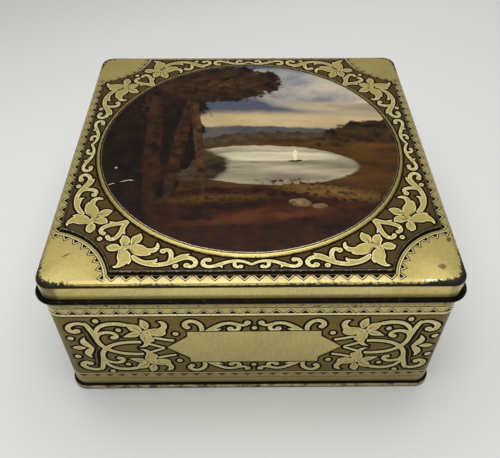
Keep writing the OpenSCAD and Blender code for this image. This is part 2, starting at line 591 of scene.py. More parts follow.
@dataclass(frozen=True)
class MattePaint(Finish):
    """Painted board of the studio floor: matt and pale, with painted shade towards the back left and a
    painted glow far off.
    """

    tone: str = "d4d6d7"
    far: str = "c1bfbd"

    def paint(self, mix: Recipe) -> None:
        """A very faint unevenness in a pale coat, painted shade towards the back left, and a painted glow
        towards the far end.
        """
        cloud = mix.add("TexNoise", {"Vector": mix.place, "Scale": 2.0, "Detail": 2.0})
        shade = mix.span(cloud, 0.0, 1.0, 0.98, 1.02)
        # Painted shade: the paint darkens towards the back left, where the light falls off.
        along = mix.measure("DOT_PRODUCT", mix.place, (-0.6, 0.8, 0.0))
        fall = mix.span(along, 0.15, 0.5, 1.01, 0.83, eased=True)
        # Painted light: the far end of the floor glows, though no lamp is there.
        lit = mix.span(mix.measure("LENGTH", mix.place), 0.45, 1.8, eased=True)
        mix.set({
            "Base Color": mix.shaded(self.tone, mix.math("MULTIPLY", shade, fall)),
            "Emission Color": linear(self.far),
            "Emission Strength": lit,
            "Roughness": 0.9,
            "Specular IOR Level": 0.2,
        })


# ---------------------------------------------------------------- the print, drawn flat


class Ink(Enum):
    """The inks of the printed sheet."""

    GROUND = "ground"
    PLAIN = "plain gold"
    SHADE = "shade"
    LINE = "dark line"
    GOLD = "ornament gold"
    VEIN = "vein"
    CREAM = "cream line"


class Level(Enum):
    """How late an ink is laid down; a later one covers an earlier one."""

    FIELD = 1
    BAND = 2
    OUTLINE = 3
    ORNAMENT = 4
    VEIN = 5
    TOOTH_OUTLINE = 6
    TOOTH_LINE = 7
    TOOTH = 8


@dataclass
class Shape:
    """A filled outline of one ink."""

    outline: list[Point]
    ink: Ink
    level: Level


def smooth(knots: Sequence[Knot], step: float) -> list[Knot]:
    """Runs a Catmull-Rom curve through knots.

    Args:
        knots: x, y and half-width at each.
        step: about how far apart the points come, in millimetres.
    Returns:
        Points along the curve, each with its half-width.
    """
    ends = [Vector(k) for k in (knots[0], *knots, knots[-1])]
    found: list[Vector] = []
    for a, b, c, d in zip(ends, ends[1:], ends[2:], ends[3:]):
        count = max(1, round((c - b).xy.length / step))
        for i in range(count):
            t = i / count
            found.append(
                b + (c - a) * (t / 2) + (a * 2 - b * 5 + c * 4 - d) * (t * t / 2)
                + (b * 3 - c * 3 + d - a) * (t ** 3 / 2)
            )
    found.append(ends[-1])
    return [(p.x, p.y, max(0.0, p.z)) for p in found]


def arc_points(centre: Point, radius: float, start: float, end: float, count: int) -> list[Point]:
    """Points along an arc.

    Args:
        centre: its centre.
        radius: its radius.
        start: its first angle, in degrees.
        end: its last angle, in degrees.
        count: how many steps it takes.
    Returns:
        count + 1 points.
    """
    angles = [math.radians(start + (end - start) * i / count) for i in range(count + 1)]
    return [(centre[0] + radius * math.cos(a), centre[1] + radius * math.sin(a)) for a in angles]


@dataclass
class PrintPlan:
    """A print as it is drawn: shapes of ink, and guide lines that the sheet bends along."""

    line: float = 1.2
    step: float = 1.1
    shapes: list[Shape] = field(default_factory=list)
    guides: list[list[Point]] = field(default_factory=list)
    points: list[Point] = field(default_factory=list)

    def fill(self, outline: Sequence[Point], ink: Ink, level: Level) -> None:
        """Adds a filled outline, without corners that fall together; one with no area is left out."""
        kept = [p for i, p in enumerate(outline) if math.dist(p, outline[i - 1]) > 0.02]
        if len(kept) > 2 and abs(area(kept)) > 0.002:
            self.shapes.append(Shape(kept, ink, level))

    def box(self, low: Point, high: Point, ink: Ink, level: Level) -> None:
        """Adds a filled rectangle."""
        self.fill([low, (high[0], low[1]), high, (low[0], high[1])], ink, level)

    def disc(self, x: float, y: float, radius: float) -> None:
        """Adds a gold dot in its dark ring."""
        for r, ink, level in (
            (radius + self.line, Ink.LINE, Level.OUTLINE), (radius, Ink.GOLD, Level.ORNAMENT)
        ):
            self.fill(arc_points((x, y), r, 0, 360, 16)[:-1], ink, level)
        self.points.append((x, y))
        self.points += arc_points((x, y), radius / 2, 0, 360, 6)[:-1]

    def ribbon(self, spine: Sequence[Knot], grow: float, ink: Ink, level: Level) -> None:
        """Adds a band of varying width along a spine.

        Args:
            spine: its middle line with half-widths.
            grow: what is added to every half-width.
            ink: its ink.
            level: its level.
        """
        rails = []
        for i, (x, y, w) in enumerate(spine):
            before, after = spine[max(i - 1, 0)], spine[min(i + 1, len(spine) - 1)]
            along = Vector((after[0] - before[0], after[1] - before[1])).normalized()
            side = Vector((-along.y, along.x)) * (w + grow)
            rails.append((Vector((x, y)) + side, Vector((x, y)) - side))
        for (a, b), (d, c) in zip(rails, rails[1:]):
            quad = [tuple(a), tuple(b), tuple(c), tuple(d)]
            if turns_one_way(quad):
                self.fill(quad, ink, level)
            else:
                self.fill([quad[0], quad[1], quad[2]], ink, level)
                self.fill([quad[0], quad[2], quad[3]], ink, level)

    def stroke(self, *knots: Knot, ball: float = 0.0, blunt: bool = False) -> None:
        """Adds a gold stroke in its dark outline.

        Args:
            knots: its middle line with half-widths, from its root to its tip.
            ball: radius of a ball that ends it, or 0.
            blunt: whether it ends cut square.
        """
        spine = smooth(knots, self.step)
        self.ribbon(spine, self.line, Ink.LINE, Level.OUTLINE)
        self.ribbon(spine, 0.0, Ink.GOLD, Level.ORNAMENT)
        for (ax, ay, _), (x, y, w), (bx, by, _) in zip([spine[0], *spine], spine, [*spine[1:], spine[-1]]):
            self.points.append((x, y))
            side = Vector((ay - by, bx - ax)).normalized() * (w - 0.6)
            if w > 1.4:
                self.points += [(x + side.x, y + side.y), (x - side.x, y - side.y)]
            if w > 2:
                # Where a wide stroke bends its bands part; a disc closes them.
                self.fill(arc_points((x, y), 0.8 * w, 0, 360, 16)[:-1], Ink.GOLD, Level.ORNAMENT)
        x, y, w = spine[-1]
        if ball:
            self.disc(x, y, ball)
        elif blunt:
            fx, fy = spine[-2][0], spine[-2][1]
            on = Vector((x - fx, y - fy)).normalized() * self.line
            self.ribbon([(x, y, w), (x + on.x, y + on.y, w)], self.line, Ink.LINE, Level.OUTLINE)
        else:
            self.cap(x, y, w)
        self.cap(*spine[0])

    def cap(self, x: float, y: float, w: float) -> None:
        """Rounds off a stroke's end."""
        self.fill(arc_points((x, y), w + self.line, 0, 360, 12)[:-1], Ink.LINE, Level.OUTLINE)
        if w > 0.25:
            self.fill(arc_points((x, y), w, 0, 360, 12)[:-1], Ink.GOLD, Level.ORNAMENT)

    def vein(self, *knots: Knot) -> None:
        """Adds a fine dark line on a leaf."""
        self.ribbon(smooth(knots, self.step), 0.0, Ink.VEIN, Level.VEIN)

    def leaf(self, knots: Sequence[Knot], spread: float, width: float) -> None:
        """Adds a petal with two fine veins that part from its root.

        Args:
            knots: its middle line with half-widths.
            spread: how far each vein has left the middle line at the third knot.
            width: a vein's half-width at its root.
        """
        self.stroke(*knots)
        for side in (-spread, spread):
            self.vein(*[(x + side * i / 2, y, width * (1 - i / 3)) for i, (x, y, _) in enumerate(knots[:3])])

    def tooth(self, base: Point, tip: Vector, half: float) -> None:
        """Adds a dark tooth with a pale line round its two long sides.

        Args:
            base: the middle of its base.
            tip: the way it points, as long as it is deep.
            half: half the width of its base.
        """
        side = Vector((-tip.y, tip.x)).normalized()
        root = Vector(base)
        for grow, ink, level in (
            (0.0, Ink.LINE, Level.TOOTH_OUTLINE), (-0.65, Ink.CREAM, Level.TOOTH_LINE),
            (-1.25, Ink.LINE, Level.TOOTH),
        ):
            wide = half + grow
            point = root + tip * (wide / half)
            self.fill([tuple(root - side * wide), tuple(root + side * wide), tuple(point)], ink, level)

    def reflect(self, image: Callable[[Point], Point], beyond: Callable[[Point], bool]) -> None:
        """Adds the mirror image of each shape that crosses a line.

        Args:
            image: gives a point's mirror image.
            beyond: says whether a point lies beyond the line.
        """
        crossing = [s for s in self.shapes if any(beyond(p) for p in s.outline)]
        for s in crossing:
            self.fill([image(p) for p in s.outline], s.ink, s.level)
        self.points += [image(p) for p in self.points if beyond(p)]


def turns_one_way(outline: Sequence[Point]) -> bool:
    """Whether an outline's corners all turn the same way."""
    turns = []
    for i, b in enumerate(outline):
        a, c = outline[i - 1], outline[(i + 1) % len(outline)]
        turns.append((b[0] - a[0]) * (c[1] - b[1]) - (b[1] - a[1]) * (c[0] - b[0]))
    return min(turns) > 1e-6 or max(turns) < -1e-6


def area(outline: Sequence[Point]) -> float:
    """Twice the signed area of an outline, positive when it runs anticlockwise."""
    return sum(a[0] * b[1] - b[0] * a[1] for a, b in zip(outline, [*outline[1:], outline[0]]))


@dataclass
class PrintedSheet:
    """A sheet cut into faces along every edge of its print."""

    name: str
    plan: PrintPlan
    domain: list[Point]
    finishes: dict[Ink, Finish]
    back: Finish
    emboss: float = 0.0
    corners: list[Vector] = field(default_factory=list)
    faces: list[tuple[list[int], Ink]] = field(default_factory=list)
    depth: list[float] = field(default_factory=list)

    def cut(self) -> None:
        """Cuts the domain along the print, and gives each face the ink laid last."""
        corners = [Vector(p) for p in self.domain]
        outlines = [list(range(len(corners)))]
        for shape in self.plan.shapes:
            start = len(corners)
            way = shape.outline if area(shape.outline) > 0 else shape.outline[::-1]
            corners += [Vector(p) for p in way]
            outlines.append(list(range(start, len(corners))))
        edges = []
        for guide in self.plan.guides:
            start = len(corners)
            corners += [Vector(p) for p in guide]
            edges += [(i, i + 1) for i in range(start, len(corners) - 1)]
        corners += [Vector(p) for p in self.plan.points]
        found = geometry.delaunay_2d_cdt(corners, edges, outlines, 0, 1e-4, True)
        self.corners = found[0]
        for face, within in zip(found[2], found[5]):
            if 0 not in within:
                continue
            over = [self.plan.shapes[i - 1] for i in within if i]
            ink = max(over, key=lambda s: s.level.value).ink if over else Ink.GROUND
            self.faces.append((list(face), ink))
        self.depth = self.measure_depth()

    def measure_depth(self) -> list[float]:
        """How far each corner lies inside the gold, in millimetres, up to 2."""
        sides: dict[tuple[int, int], list[Ink]] = {}
        for face, ink in self.faces:
            for a, b in zip(face, [*face[1:], face[0]]):
                sides.setdefault((min(a, b), max(a, b)), []).append(ink)
        marks: list[Vector] = []
        for (a, b), inks in sides.items():
            if len(inks) == 2 and (inks[0] is Ink.GOLD) != (inks[1] is Ink.GOLD):
                if Ink.VEIN in inks:
                    continue
                start, end = self.corners[a], self.corners[b]
                count = max(1, math.ceil((end - start).length / 0.15))
                marks += [start.lerp(end, i / count) for i in range(count + 1)]
        tree = kdtree.KDTree(len(marks))
        for i, mark in enumerate(marks):
            tree.insert(mark.to_3d(), i)
        tree.balance()
        if not marks:
            return [2.0] * len(self.corners)
        return [min(2.0, tree.find(c.to_3d())[2]) for c in self.corners]

    def raise_of(self, index: int, gold: set[int]) -> float:
        """How far the sheet is embossed at a corner, in millimetres."""
        if index not in gold:
            return 0.0
        t = min(1.0, self.depth[index] / 0.8)
        return self.emboss * t * t * (3 - 2 * t)

    def build(self, placers: Sequence[tuple[Placer, bool]]) -> bpy.types.Object:
        """Makes the sheet's mesh.

        Args:
            placers: for each copy, where a flat point goes, and whether the copy is a mirror image.
        Returns:
            The finished sheet, still without its thickness.
        """
        self.cut()
        inks = list(self.finishes)
        used = sorted({i for face, _ in self.faces for i in face})
        slot_of = {i: n for n, i in enumerate(used)}
        gold = {i for face, ink in self.faces if ink in (Ink.GOLD, Ink.VEIN) for i in face}
        verts, faces, slots = [], [], []
        for place, flipped in placers:
            start = len(verts)
            verts += [place(*self.corners[i], self.raise_of(i, gold)) * MM for i in used]
            for face, ink in self.faces:
                ring = [start + slot_of[i] for i in face]
                faces.append(ring[::-1] if flipped else ring)
                slots.append(inks.index(ink))
        mesh = bpy.data.meshes.new(self.name)
        mesh.from_pydata(verts, [], faces)
        mesh.polygons.foreach_set("material_index", slots)
        inside = mesh.attributes.new("depth", "FLOAT", "POINT")
        inside.data.foreach_set("value", [self.depth[i] for i in used] * len(placers))
        piece = bpy.data.objects.new(self.name, mesh)
        bpy.context.collection.objects.link(piece)
        for ink in inks:
            mesh.materials.append(self.finishes[ink].material())
        mesh.materials.append(self.back.material())
        weld(piece)
        return piece


# ---------------------------------------------------------------- modelling by hand


def only(piece: bpy.types.Object) -> None:
    """Makes a piece the one selected, active object."""
    bpy.ops.object.select_all(action="DESELECT")
    piece.select_set(True)
    bpy.context.view_layer.objects.active = piece


def take_all(piece: bpy.types.Object) -> None:
    """Selects the whole of a piece, and leaves it in edit mode."""
    only(piece)
    bpy.ops.object.mode_set(mode="EDIT")
    bpy.ops.mesh.select_all(action="SELECT")


def pick(piece: bpy.types.Object, wanted: Callable[[Vector], bool]) -> None:
    """Selects the corners of a piece that are wanted, and leaves it in edit mode."""
    only(piece)
    bpy.ops.object.mode_set(mode="EDIT")
    bpy.ops.mesh.select_mode(type="VERT")
    bpy.ops.mesh.select_all(action="DESELECT")
    bpy.ops.object.mode_set(mode="OBJECT")
    for corner in piece.data.vertices:
        corner.select = wanted(corner.co)
    bpy.ops.object.mode_set(mode="EDIT")


def weld(piece: bpy.types.Object) -> None:
    """Merges a piece's doubled corners."""
    take_all(piece)
    bpy.ops.mesh.remove_doubles(threshold=0.015 * MM)
    bpy.ops.object.mode_set(mode="OBJECT")


def thicken(piece: bpy.types.Object, sheet: float, offset: float = -1.0) -> None:
    """Gives a sheet its thickness, with the last material on its back.

    Args:
        piece: the sheet, its faces pointing outwards.
        sheet: its thickness in millimetres.
        offset: -1 to grow it inwards, 0 to grow it both ways.
    """
    fronts = len(piece.data.polygons)
    back = len(piece.data.materials) - 1
    solid = piece.modifiers.new("sheet", "SOLIDIFY")
    solid.thickness = sheet * MM
    solid.offset = offset
    solid.use_even_offset = offset == 0
    only(piece)
    bpy.ops.object.modifier_apply(modifier=solid.name)
    for face in list(piece.data.polygons)[fronts:2 * fronts]:
        face.material_index = back


def plate(piece: bpy.types.Object, finishes: Sequence[Finish]) -> None:
    """Gives a sheet its finishes and its thickness; the last finish is the one inside."""
    for finish in finishes:
        piece.data.materials.append(finish.material())
    thicken(piece, SIZES.sheet)


def round_off(piece: bpy.types.Object, angle: float = 35.0) -> None:
    """Shades a piece smooth except across its sharp edges."""
    only(piece)
    bpy.ops.object.shade_smooth_by_angle(angle=math.radians(angle))


@dataclass
class SheetProfile:
    """The middle line of a bent sheet, drawn as distance from the middle and height."""

    points: list[Point] = field(default_factory=list)

    def to(self, out: float, up: float) -> "SheetProfile":
        """Carries the line straight to a point."""
        self.points.append((out, up))
        return self

    def bend(self, centre: Point, radius: float, start: float, end: float, count: int) -> "SheetProfile":
        """Carries the line round an arc, its angles in degrees."""
        self.points += arc_points(centre, radius, start, end, count)
        return self

    def draw(self, name: str, along: float) -> bpy.types.Object:
        """Draws the line in the XZ plane as one open run of edges.

        Args:
            name: the piece's name.
            along: the y of the plane it is drawn in, in millimetres.
        Returns:
            The piece, left in edit mode with its line selected.
        """
        places = [Vector((out, along, up)) * MM for out, up in self.points]
        bpy.ops.object.select_all(action="DESELECT")
        bpy.ops.mesh.primitive_plane_add(size=MM, location=places[0])
        bpy.ops.object.transform_apply(location=True)
        piece = bpy.context.active_object
        piece.name = piece.data.name = name
        bpy.ops.object.mode_set(mode="EDIT")
        bpy.ops.mesh.select_mode(type="VERT")
        bpy.ops.mesh.select_all(action="SELECT")
        bpy.ops.mesh.merge(type="CENTER")
        for before, after in zip(places, places[1:]):
            bpy.ops.mesh.extrude_region_move(TRANSFORM_OT_translate={"value": after - before})
        bpy.ops.mesh.select_all(action="SELECT")
        return piece

    def carry_round(self, name: str) -> bpy.types.Object:
        """Carries the line round the tin's four sides and four corners."""
        core = SIZES.core * MM
        piece = self.draw(name, -SIZES.core)
        for quarter in range(4):
            turn = Matrix.Rotation(quarter * math.pi / 2, 3, "Z")
            bpy.ops.mesh.extrude_region_move(
                TRANSFORM_OT_translate={"value": turn @ Vector((0, 2 * core, 0))}
            )
            bpy.ops.mesh.spin(
                steps=10, angle=-math.pi / 2, center=turn @ Vector((core, core, 0)), axis=(0, 0, 1)
            )
        return self.close(piece)

    def turn_round(self, name: str, steps: int = 160) -> bpy.types.Object:
        """Turns the line once about the tin's upright axis."""
        piece = self.draw(name, 0.0)
        bpy.ops.mesh.spin(steps=steps, angle=-2 * math.pi, center=(0, 0, 0), axis=(0, 0, 1))
        return self.close(piece)

    @staticmethod
    def close(piece: bpy.types.Object) -> bpy.types.Object:
        """Merges the ends of a swept line and turns its faces one way."""
        bpy.ops.mesh.select_all(action="SELECT")
        bpy.ops.mesh.remove_doubles(threshold=0.004 * MM)
        bpy.ops.mesh.normals_make_consistent(inside=False)
        bpy.ops.object.mode_set(mode="OBJECT")
        return piece


def dress(
    piece: bpy.types.Object, body: str, nodes: Iterable[str], finishes: Sequence[Finish] = ()
) -> bpy.types.Object:
    """Hands a finished piece to the frame.

    Args:
        piece: the piece.
        body: the CAD body it rides on.
        nodes: the CAD nodes it stands for.
        finishes: its materials, where it has none yet.
    Returns:
        The piece.
    """
    for finish in finishes:
        piece.data.materials.append(finish.material())
    round_off(piece)
    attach(piece, body)
    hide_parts(*nodes)
    log.info("%s: %d faces, on %s", piece.name, len(piece.data.polygons), body)
    return piece


# ---------------------------------------------------------------- the lid


class Gold:
    """The finishes of the printed sheet, as they lie on the lid and on the wall."""

    inside = InsideTinplate("bare_tinplate_inside")
    edge = RubbedSteel("rubbed_steel_edge", "0a0703", "4a4229", 0.1)
    seam = RubbedSteel("seam_steel_rub_and_sheen", "1f180b", "b1a67c", 0.46, (1.0, SIZES.seam_top - 0.12))

    @staticmethod
    def inks(zone: Zone, ground: str, gold: str, plain: str) -> dict[Ink, Finish]:
        """The set of inks for one zone.

        Args:
            zone: the part of the tin.
            ground: the colour behind the scrolls.
            gold: the scrolls' colour.
            plain: the colour of the unprinted gold varnish.
        Returns:
            A finish for each ink.
        """
        bare = "8d897c" if zone is Zone.PANEL else PrintedTinplate.bare
        coat = 0.95 if zone is Zone.LID else 0.0

        def finish(name: str, code: str, metal: float, rough: float, gloss: float, **more: Any) -> Finish:
            """Makes one ink's finish for this zone."""
            return PrintedTinplate(
                f"{zone.value}_{name}", code, metal, rough, gloss, zone=zone, bare=bare, **more
            )

        return {
            Ink.GROUND: finish("ground", ground, 0.15, 0.42, 0.12),
            Ink.PLAIN: finish("gold_varnish", plain, 0.55, 0.28, 0.35, coat=coat),
            Ink.SHADE: finish("shade", "56544f" if zone is Zone.PANEL else "5f5535", 0.15, 0.42, 0.12),
            Ink.LINE: finish("dark_line", "1b0f00", 0.0, 0.5, 0.03),
            Ink.GOLD: finish("ornament_gold", gold, 0.5, 0.32, 0.35, rim="ded5a3"),
            Ink.VEIN: finish("vein", "5c5026", 0.15, 0.42, 0.12),
            Ink.CREAM: finish("cream_line", "dcd2a2", 0.4, 0.32, 0.35),
        }


@dataclass
class LidTop:
    """The lid's drawn top: border and corner plates, raised scroll panel, brow and skirt.

    It is drawn as one eighth, from the middle of the front edge to the corner's
    diagonal, and mirrored round the lid. The teeth stand in a straight row along
    the border, and in an arc round each scoop, where they are a little smaller.
    """

    teeth_count: int = 10
    tooth_pitch: float = 6.84
    tooth_gap: float = 0.75
    tooth_deep: float = 3.5
    tooth_half: float = 3.35
    arc_teeth: int = 4
    arc_first: float = 139.8
    arc_pitch: float = 9.55
    arc_gap: float = 2.3
    arc_tooth_deep: float = 3.1
    arc_tooth_share: float = 0.84
    arc_steps: int = 14
    brow_steps: int = 7
    panel_shadow: float = 1.6
    press: float = 1.3
    press_reach: float = 45.0
    press_line: float = 93.5
    press_fade: float = 6.5

    def contour(self, inset: float) -> list[Point]:
        """The panel's foot line moved in by inset, from the middle of the front to the diagonal."""
        radius, at = SIZES.scoop + inset, SIZES.scoop_at
        y = -(SIZES.panel_foot - inset)
        start = math.degrees(math.asin((y + at) / radius))
        return [(0.0, y), *arc_points((at, -at), radius, 180 - start, 135, self.arc_steps)]

    def ring(self, out: float) -> list[Point]:
        """The lid's outline moved to a distance out from the middle, as far as the diagonal."""
        core = SIZES.core
        return [(0.0, -out), *arc_points((core, -core), out - core, -90, -45, 8)]

    def inset_of(self, x: float, y: float) -> float:
        """How far a point of the eighth lies inside the panel's foot line."""
        at = SIZES.scoop_at
        return min(SIZES.panel_foot + y, math.hypot(x - at, y + at) - SIZES.scoop)

    def placers(self, height: Callable[[float, float], float]) -> list[tuple[Placer, bool]]:
        """The eight copies of the eighth.

        Args:
            height: the sheet's height over a point of the eighth.
        Returns:
            Each copy's placer, and whether it is a mirror image.
        """
        found = []
        for quarter in range(4):
            for side in (1, -1):
                turn = Matrix.Rotation(quarter * math.pi / 2, 3, "Z") @ Matrix.Scale(side, 3, (1, 0, 0))

                def place(x: float, y: float, up: float, turn: Matrix = turn) -> Vector:
                    """Puts a flat point on this copy."""
                    return turn @ Vector((x, y, height(x, y) + up))

                found.append((place, side < 0))
        return found

    def panel_height(self, x: float, y: float) -> float:
        """The panel's height: a rounded step, then flat."""
        t = min(1.0, max(0.0, self.inset_of(x, y) / 1.15))
        return SIZES.lid_top + SIZES.panel_rise * t * t * (3 - 2 * t)

    def border_height(self, x: float, y: float) -> float:
        """The border's height: flat, then over the rounded brow."""
        core, flat = SIZES.core, SIZES.lid_half - SIZES.brow
        out = core + math.hypot(x - core, y + core) if x > core else -y
        past = min(SIZES.brow, max(0.0, out - flat))
        return SIZES.lid_top - SIZES.brow + math.sqrt(SIZES.brow ** 2 - past ** 2)

    def settle(self, x: float, y: float) -> Point:
        """Places a point of the scrolls.

        Near the middle of a side they are pressed outwards. The press fades out along
        the side, and towards the line beside the step, which stays where it is.

        Args:
            x: how far along the side it is drawn.
            y: how far in it is drawn.
        Returns:
            Where it is printed.
        """
        near = max(0.0, 1 - (x / self.press_reach) ** 2)
        deep = min(1.0, max(0.0, (y + self.press_line) / self.press_fade))
        return (x, y - self.press * near * deep)

    def scrolls(self, plan: PrintPlan) -> None:
        """Draws the panel's scrolls, flower and heart over one eighth."""
        # The flower's two curling petals and their spurs.
        plan.stroke((61, -79.8, 1.1), (58.9, -79.3, 1.6), (56.7, -80, 2.5), (54.8, -81.1, 3.2),
                    (52.7, -82.2, 3.1), (50.8, -82.5, 2.5), (48.9, -82.1, 1.45), (46.9, -81.7, 1.4),
                    (45.5, -80.3, 1.05), (45.2, -79, 0.85), (45.4, -77.9, 0.6), (45.8, -76.8, 0))
        plan.stroke((50.5, -83.9, 1.4), (49.1, -84.2, 0.75), (47.8, -84.2, 0))
        plan.stroke((62.1, -80, 1.1), (62.1, -81.5, 1.6), (61.6, -83.1, 2.4), (60.9, -84.9, 3.1),
                    (60.6, -86.8, 3.1), (60.8, -88.7, 2.5), (61.7, -90.4, 1.7), (63, -91.7, 0.9),
                    (64.3, -92.1, 0.5), (65.3, -91.9, 0))
        plan.stroke((58.4, -87.9, 1.5), (57.8, -89.3, 0.75), (58, -90.6, 0))
        # Its three small petals.
        for leaf in (
            ((63.4, -79.7, 0.5), (64.6, -79.8, 1.9), (66.5, -79.8, 2.3), (68.4, -79.9, 1.9), (70, -79.4, 0)),
            ((62.3, -78.7, 0.6), (61.8, -77.6, 1.7), (61.4, -76.3, 2.5), (61.8, -74.7, 2.4),
             (62.4, -73.1, 1.4), (63.3, -72, 0)),
            ((57.6, -77.4, 1.0), (56.9, -76, 2.1), (56, -74.4, 2.5), (55.1, -72.8, 1.9), (54.5, -70.6, 0)),
        ):
            plan.leaf(leaf, 0.35, 0.2)
        plan.fill(
            [(59.5, -81.9), (59, -81.5), (58.4, -81.8), (57.6, -83.2), (58.5, -83)], Ink.LINE, Level.VEIN
        )
        plan.vein((60.4, -82.6, 0.1), (60.3, -81.2, 0.2), (59.3, -80.7, 0.25), (58, -81.3, 0.25),
                  (57, -82.7, 0.25), (55.6, -84.1, 0))
        plan.vein((62.3, -80.2, 0.2), (63.2, -81.9, 0.17), (63.4, -84.2, 0.15), (62.8, -87.2, 0))
        plan.vein((61.8, -79, 0.25), (59.4, -77.9, 0.3), (57.4, -77.7, 0.2), (54.8, -77.6, 0))
        # The long stem from the flower to its spiral, with two spurs and a hooked branch.
        plan.stroke((56.4, -85.5, 0.8), (55.5, -86.7, 1.2), (53.9, -88, 1.3), (51.7, -89.2, 1.3),
                    (49.6, -89.9, 1.4), (47.2, -90.6, 1.25), (44.6, -91, 1.15),
                    (40, -90, 1.25), (36, -87.9, 1.35), (33, -86.2, 1.4), (30, -85.9, 1.1),
                    (27.4, -87, 1.1), (26.3, -89.2, 1.05), (27.1, -91.3, 1.0), (29, -92.0, 0.95),
                    (30.5, -91.1, 0.9), ball=1.5)
        plan.stroke((48.9, -89.4, 1.2), (46.7, -89.1, 1.0), (45.3, -88.4, 0.8), (44.7, -86.9, 0))
        plan.stroke((36.5, -87.4, 1.0), (33.2, -85.2, 1.1), (31.2, -84.4, 0.8), (29.4, -83.4, 0))
        plan.stroke((39.2, -89.4, 0.8), (38.3, -86.8, 1.0), (38.3, -84.1, 1.1), (39.1, -82, 1.05),
                    (40.8, -81.2, 0.95), (42.4, -82.2, 0.8), ball=1.45)
        plan.disc(35.7, -91.6, 1.35)
        # The short scroll that meets its mirror image in the middle.
        plan.stroke((0, -90.4, 0.7), (2.2, -88.9, 0.8), (4.6, -87.9, 0.85), (7.5, -87.7, 0.95),
                    (11, -88.3, 1.0), (14, -89.8, 1.1), (17, -91.3, 1.05), (20.2, -92, 1.0),
                    (22.4, -91, 1.05), (23, -88.8, 1.0), (21.9, -86.9, 0.95), (20.2, -87.1, 0.8), ball=1.3)
        plan.stroke((15.4, -90.2, 1.0), (14.3, -91.7, 0.6), (13.7, -93.1, 0))
        plan.stroke((7.8, -88.3, 0.7), (8.1, -90, 0.8), (7.7, -91.7, 0.8), (6.4, -92.6, 0.75),
                    (5.2, -91.9, 0.6), ball=1.2)
        # One arm of the heart on the diagonal, and the drop below it.
        plan.stroke((62.3, -63, 1.1), (63.6, -65.8, 1.25), (64, -68.1, 1.2), (64.7, -70.5, 1.2),
                    (65.8, -72.7, 1.15), (67.1, -74.1, 1.1), (68.6, -74.5, 1.05), (70, -73.9, 1.0),
                    (70.5, -72.7, 0.9), ball=1.1)
        plan.stroke((63.4, -68.9, 0.9), (62.7, -70.2, 0.45), (62.1, -71.3, 0))
        plan.disc(74.1, -74.1, 1.25)

    def panel(self) -> bpy.types.Object:
        """Builds the raised scroll panel."""
        plan = PrintPlan()
        inner = arc_points((0, 0), SIZES.medallion, -45, -90, 40)
        outer = self.contour(0.0)
        self.scrolls(plan)
        for shape in plan.shapes:
            shape.outline = [self.settle(x, y) for x, y in shape.outline]
        plan.points = [self.settle(x, y) for x, y in plan.points]
        plan.reflect(lambda p: (-p[0], p[1]), lambda p: p[0] < 0.01)
        plan.reflect(lambda p: (-p[1], -p[0]), lambda p: p[1] > -p[0] - 0.01)
        # The dark line along the step and its shoulder, a printed line that is also painted shadow under the
        # step, with a grey line on the step's slope; and the dark line round the medallion.
        plan.fill([*outer, *self.contour(self.panel_shadow)[::-1]], Ink.LINE, Level.OUTLINE)
        plan.fill([*self.contour(0.75), *self.contour(1.15)[::-1]], Ink.SHADE, Level.ORNAMENT)
        plan.fill(
            [*inner, *arc_points((0, 0), SIZES.medallion + 0.8, -90, -45, 40)], Ink.LINE, Level.OUTLINE
        )
        plan.guides = [self.contour(i * 0.15) for i in range(1, 8)]
        sheet = PrintedSheet(
            "lid_scroll_panel", plan, [*outer, *inner],
            Gold.inks(Zone.PANEL, "463718", "ac9e5c", "a3945a"), Gold.inside,
        )
        piece = sheet.build(self.placers(self.panel_height))
        thicken(piece, SIZES.sheet)
        return dress(piece, "lid", ["lid"])

    def teeth(self, plan: PrintPlan) -> None:
        """Draws the border's row of teeth and the teeth along the corner's arc."""
        base = -(SIZES.panel_foot + self.tooth_gap)
        for i in range(self.teeth_count):
            plan.tooth(((i + 0.5) * self.tooth_pitch, base), Vector((0, -self.tooth_deep)), self.tooth_half)
        at = SIZES.scoop_at
        radius = SIZES.scoop - self.arc_gap
        for i in range(self.arc_teeth):
            angle = math.radians(self.arc_first + self.arc_pitch * i)
            way = Vector((math.cos(angle), math.sin(angle)))
            plan.tooth(
                (at + way.x * radius, -at + way.y * radius), -way * self.arc_tooth_deep,
                self.tooth_half * self.arc_tooth_share,
            )

    def border(self) -> bpy.types.Object:
        """Builds the border with its corner plates, the brow and the skirt."""
        plan = PrintPlan()
        foot, edge = self.contour(0.0), self.ring(SIZES.lid_half)
        domain = [*edge, *foot[::-1]]
        plan.fill(domain, Ink.PLAIN, Level.FIELD)
        for start, end, ink in ((0.0, 0.25, Ink.LINE), (0.25, 0.65, Ink.SHADE), (0.65, 1.0, Ink.LINE)):
            plan.fill([*self.contour(-end), *self.contour(-start)[::-1]], ink, Level.BAND)
        self.teeth(plan)
        for start, end, ink in (
            (0.25, 0.9, Ink.PLAIN), (0.9, 1.3, Ink.SHADE), (1.3, 1.9, Ink.CREAM), (1.9, 2.3, Ink.LINE)
        ):
            plan.fill(
                [*self.contour(-end)[1:], *self.contour(-start)[:0:-1]], ink, Level.TOOTH_OUTLINE
            )
        flat = SIZES.lid_half - SIZES.brow
        for i in range(self.brow_steps):
            out = flat + SIZES.brow * math.sin(math.radians(90 * i / self.brow_steps))
            plan.guides.append(self.ring(out))
        sheet = PrintedSheet(
            "lid_border_and_skirt", plan, domain,
            Gold.inks(Zone.LID, "514126", "c2b56f", "bdad68"), Gold.inside,
        )
        piece = sheet.build(self.placers(self.border_height))
        self.draw_down(piece)
        thicken(piece, SIZES.sheet)
        return dress(piece, "lid", ["lid"])

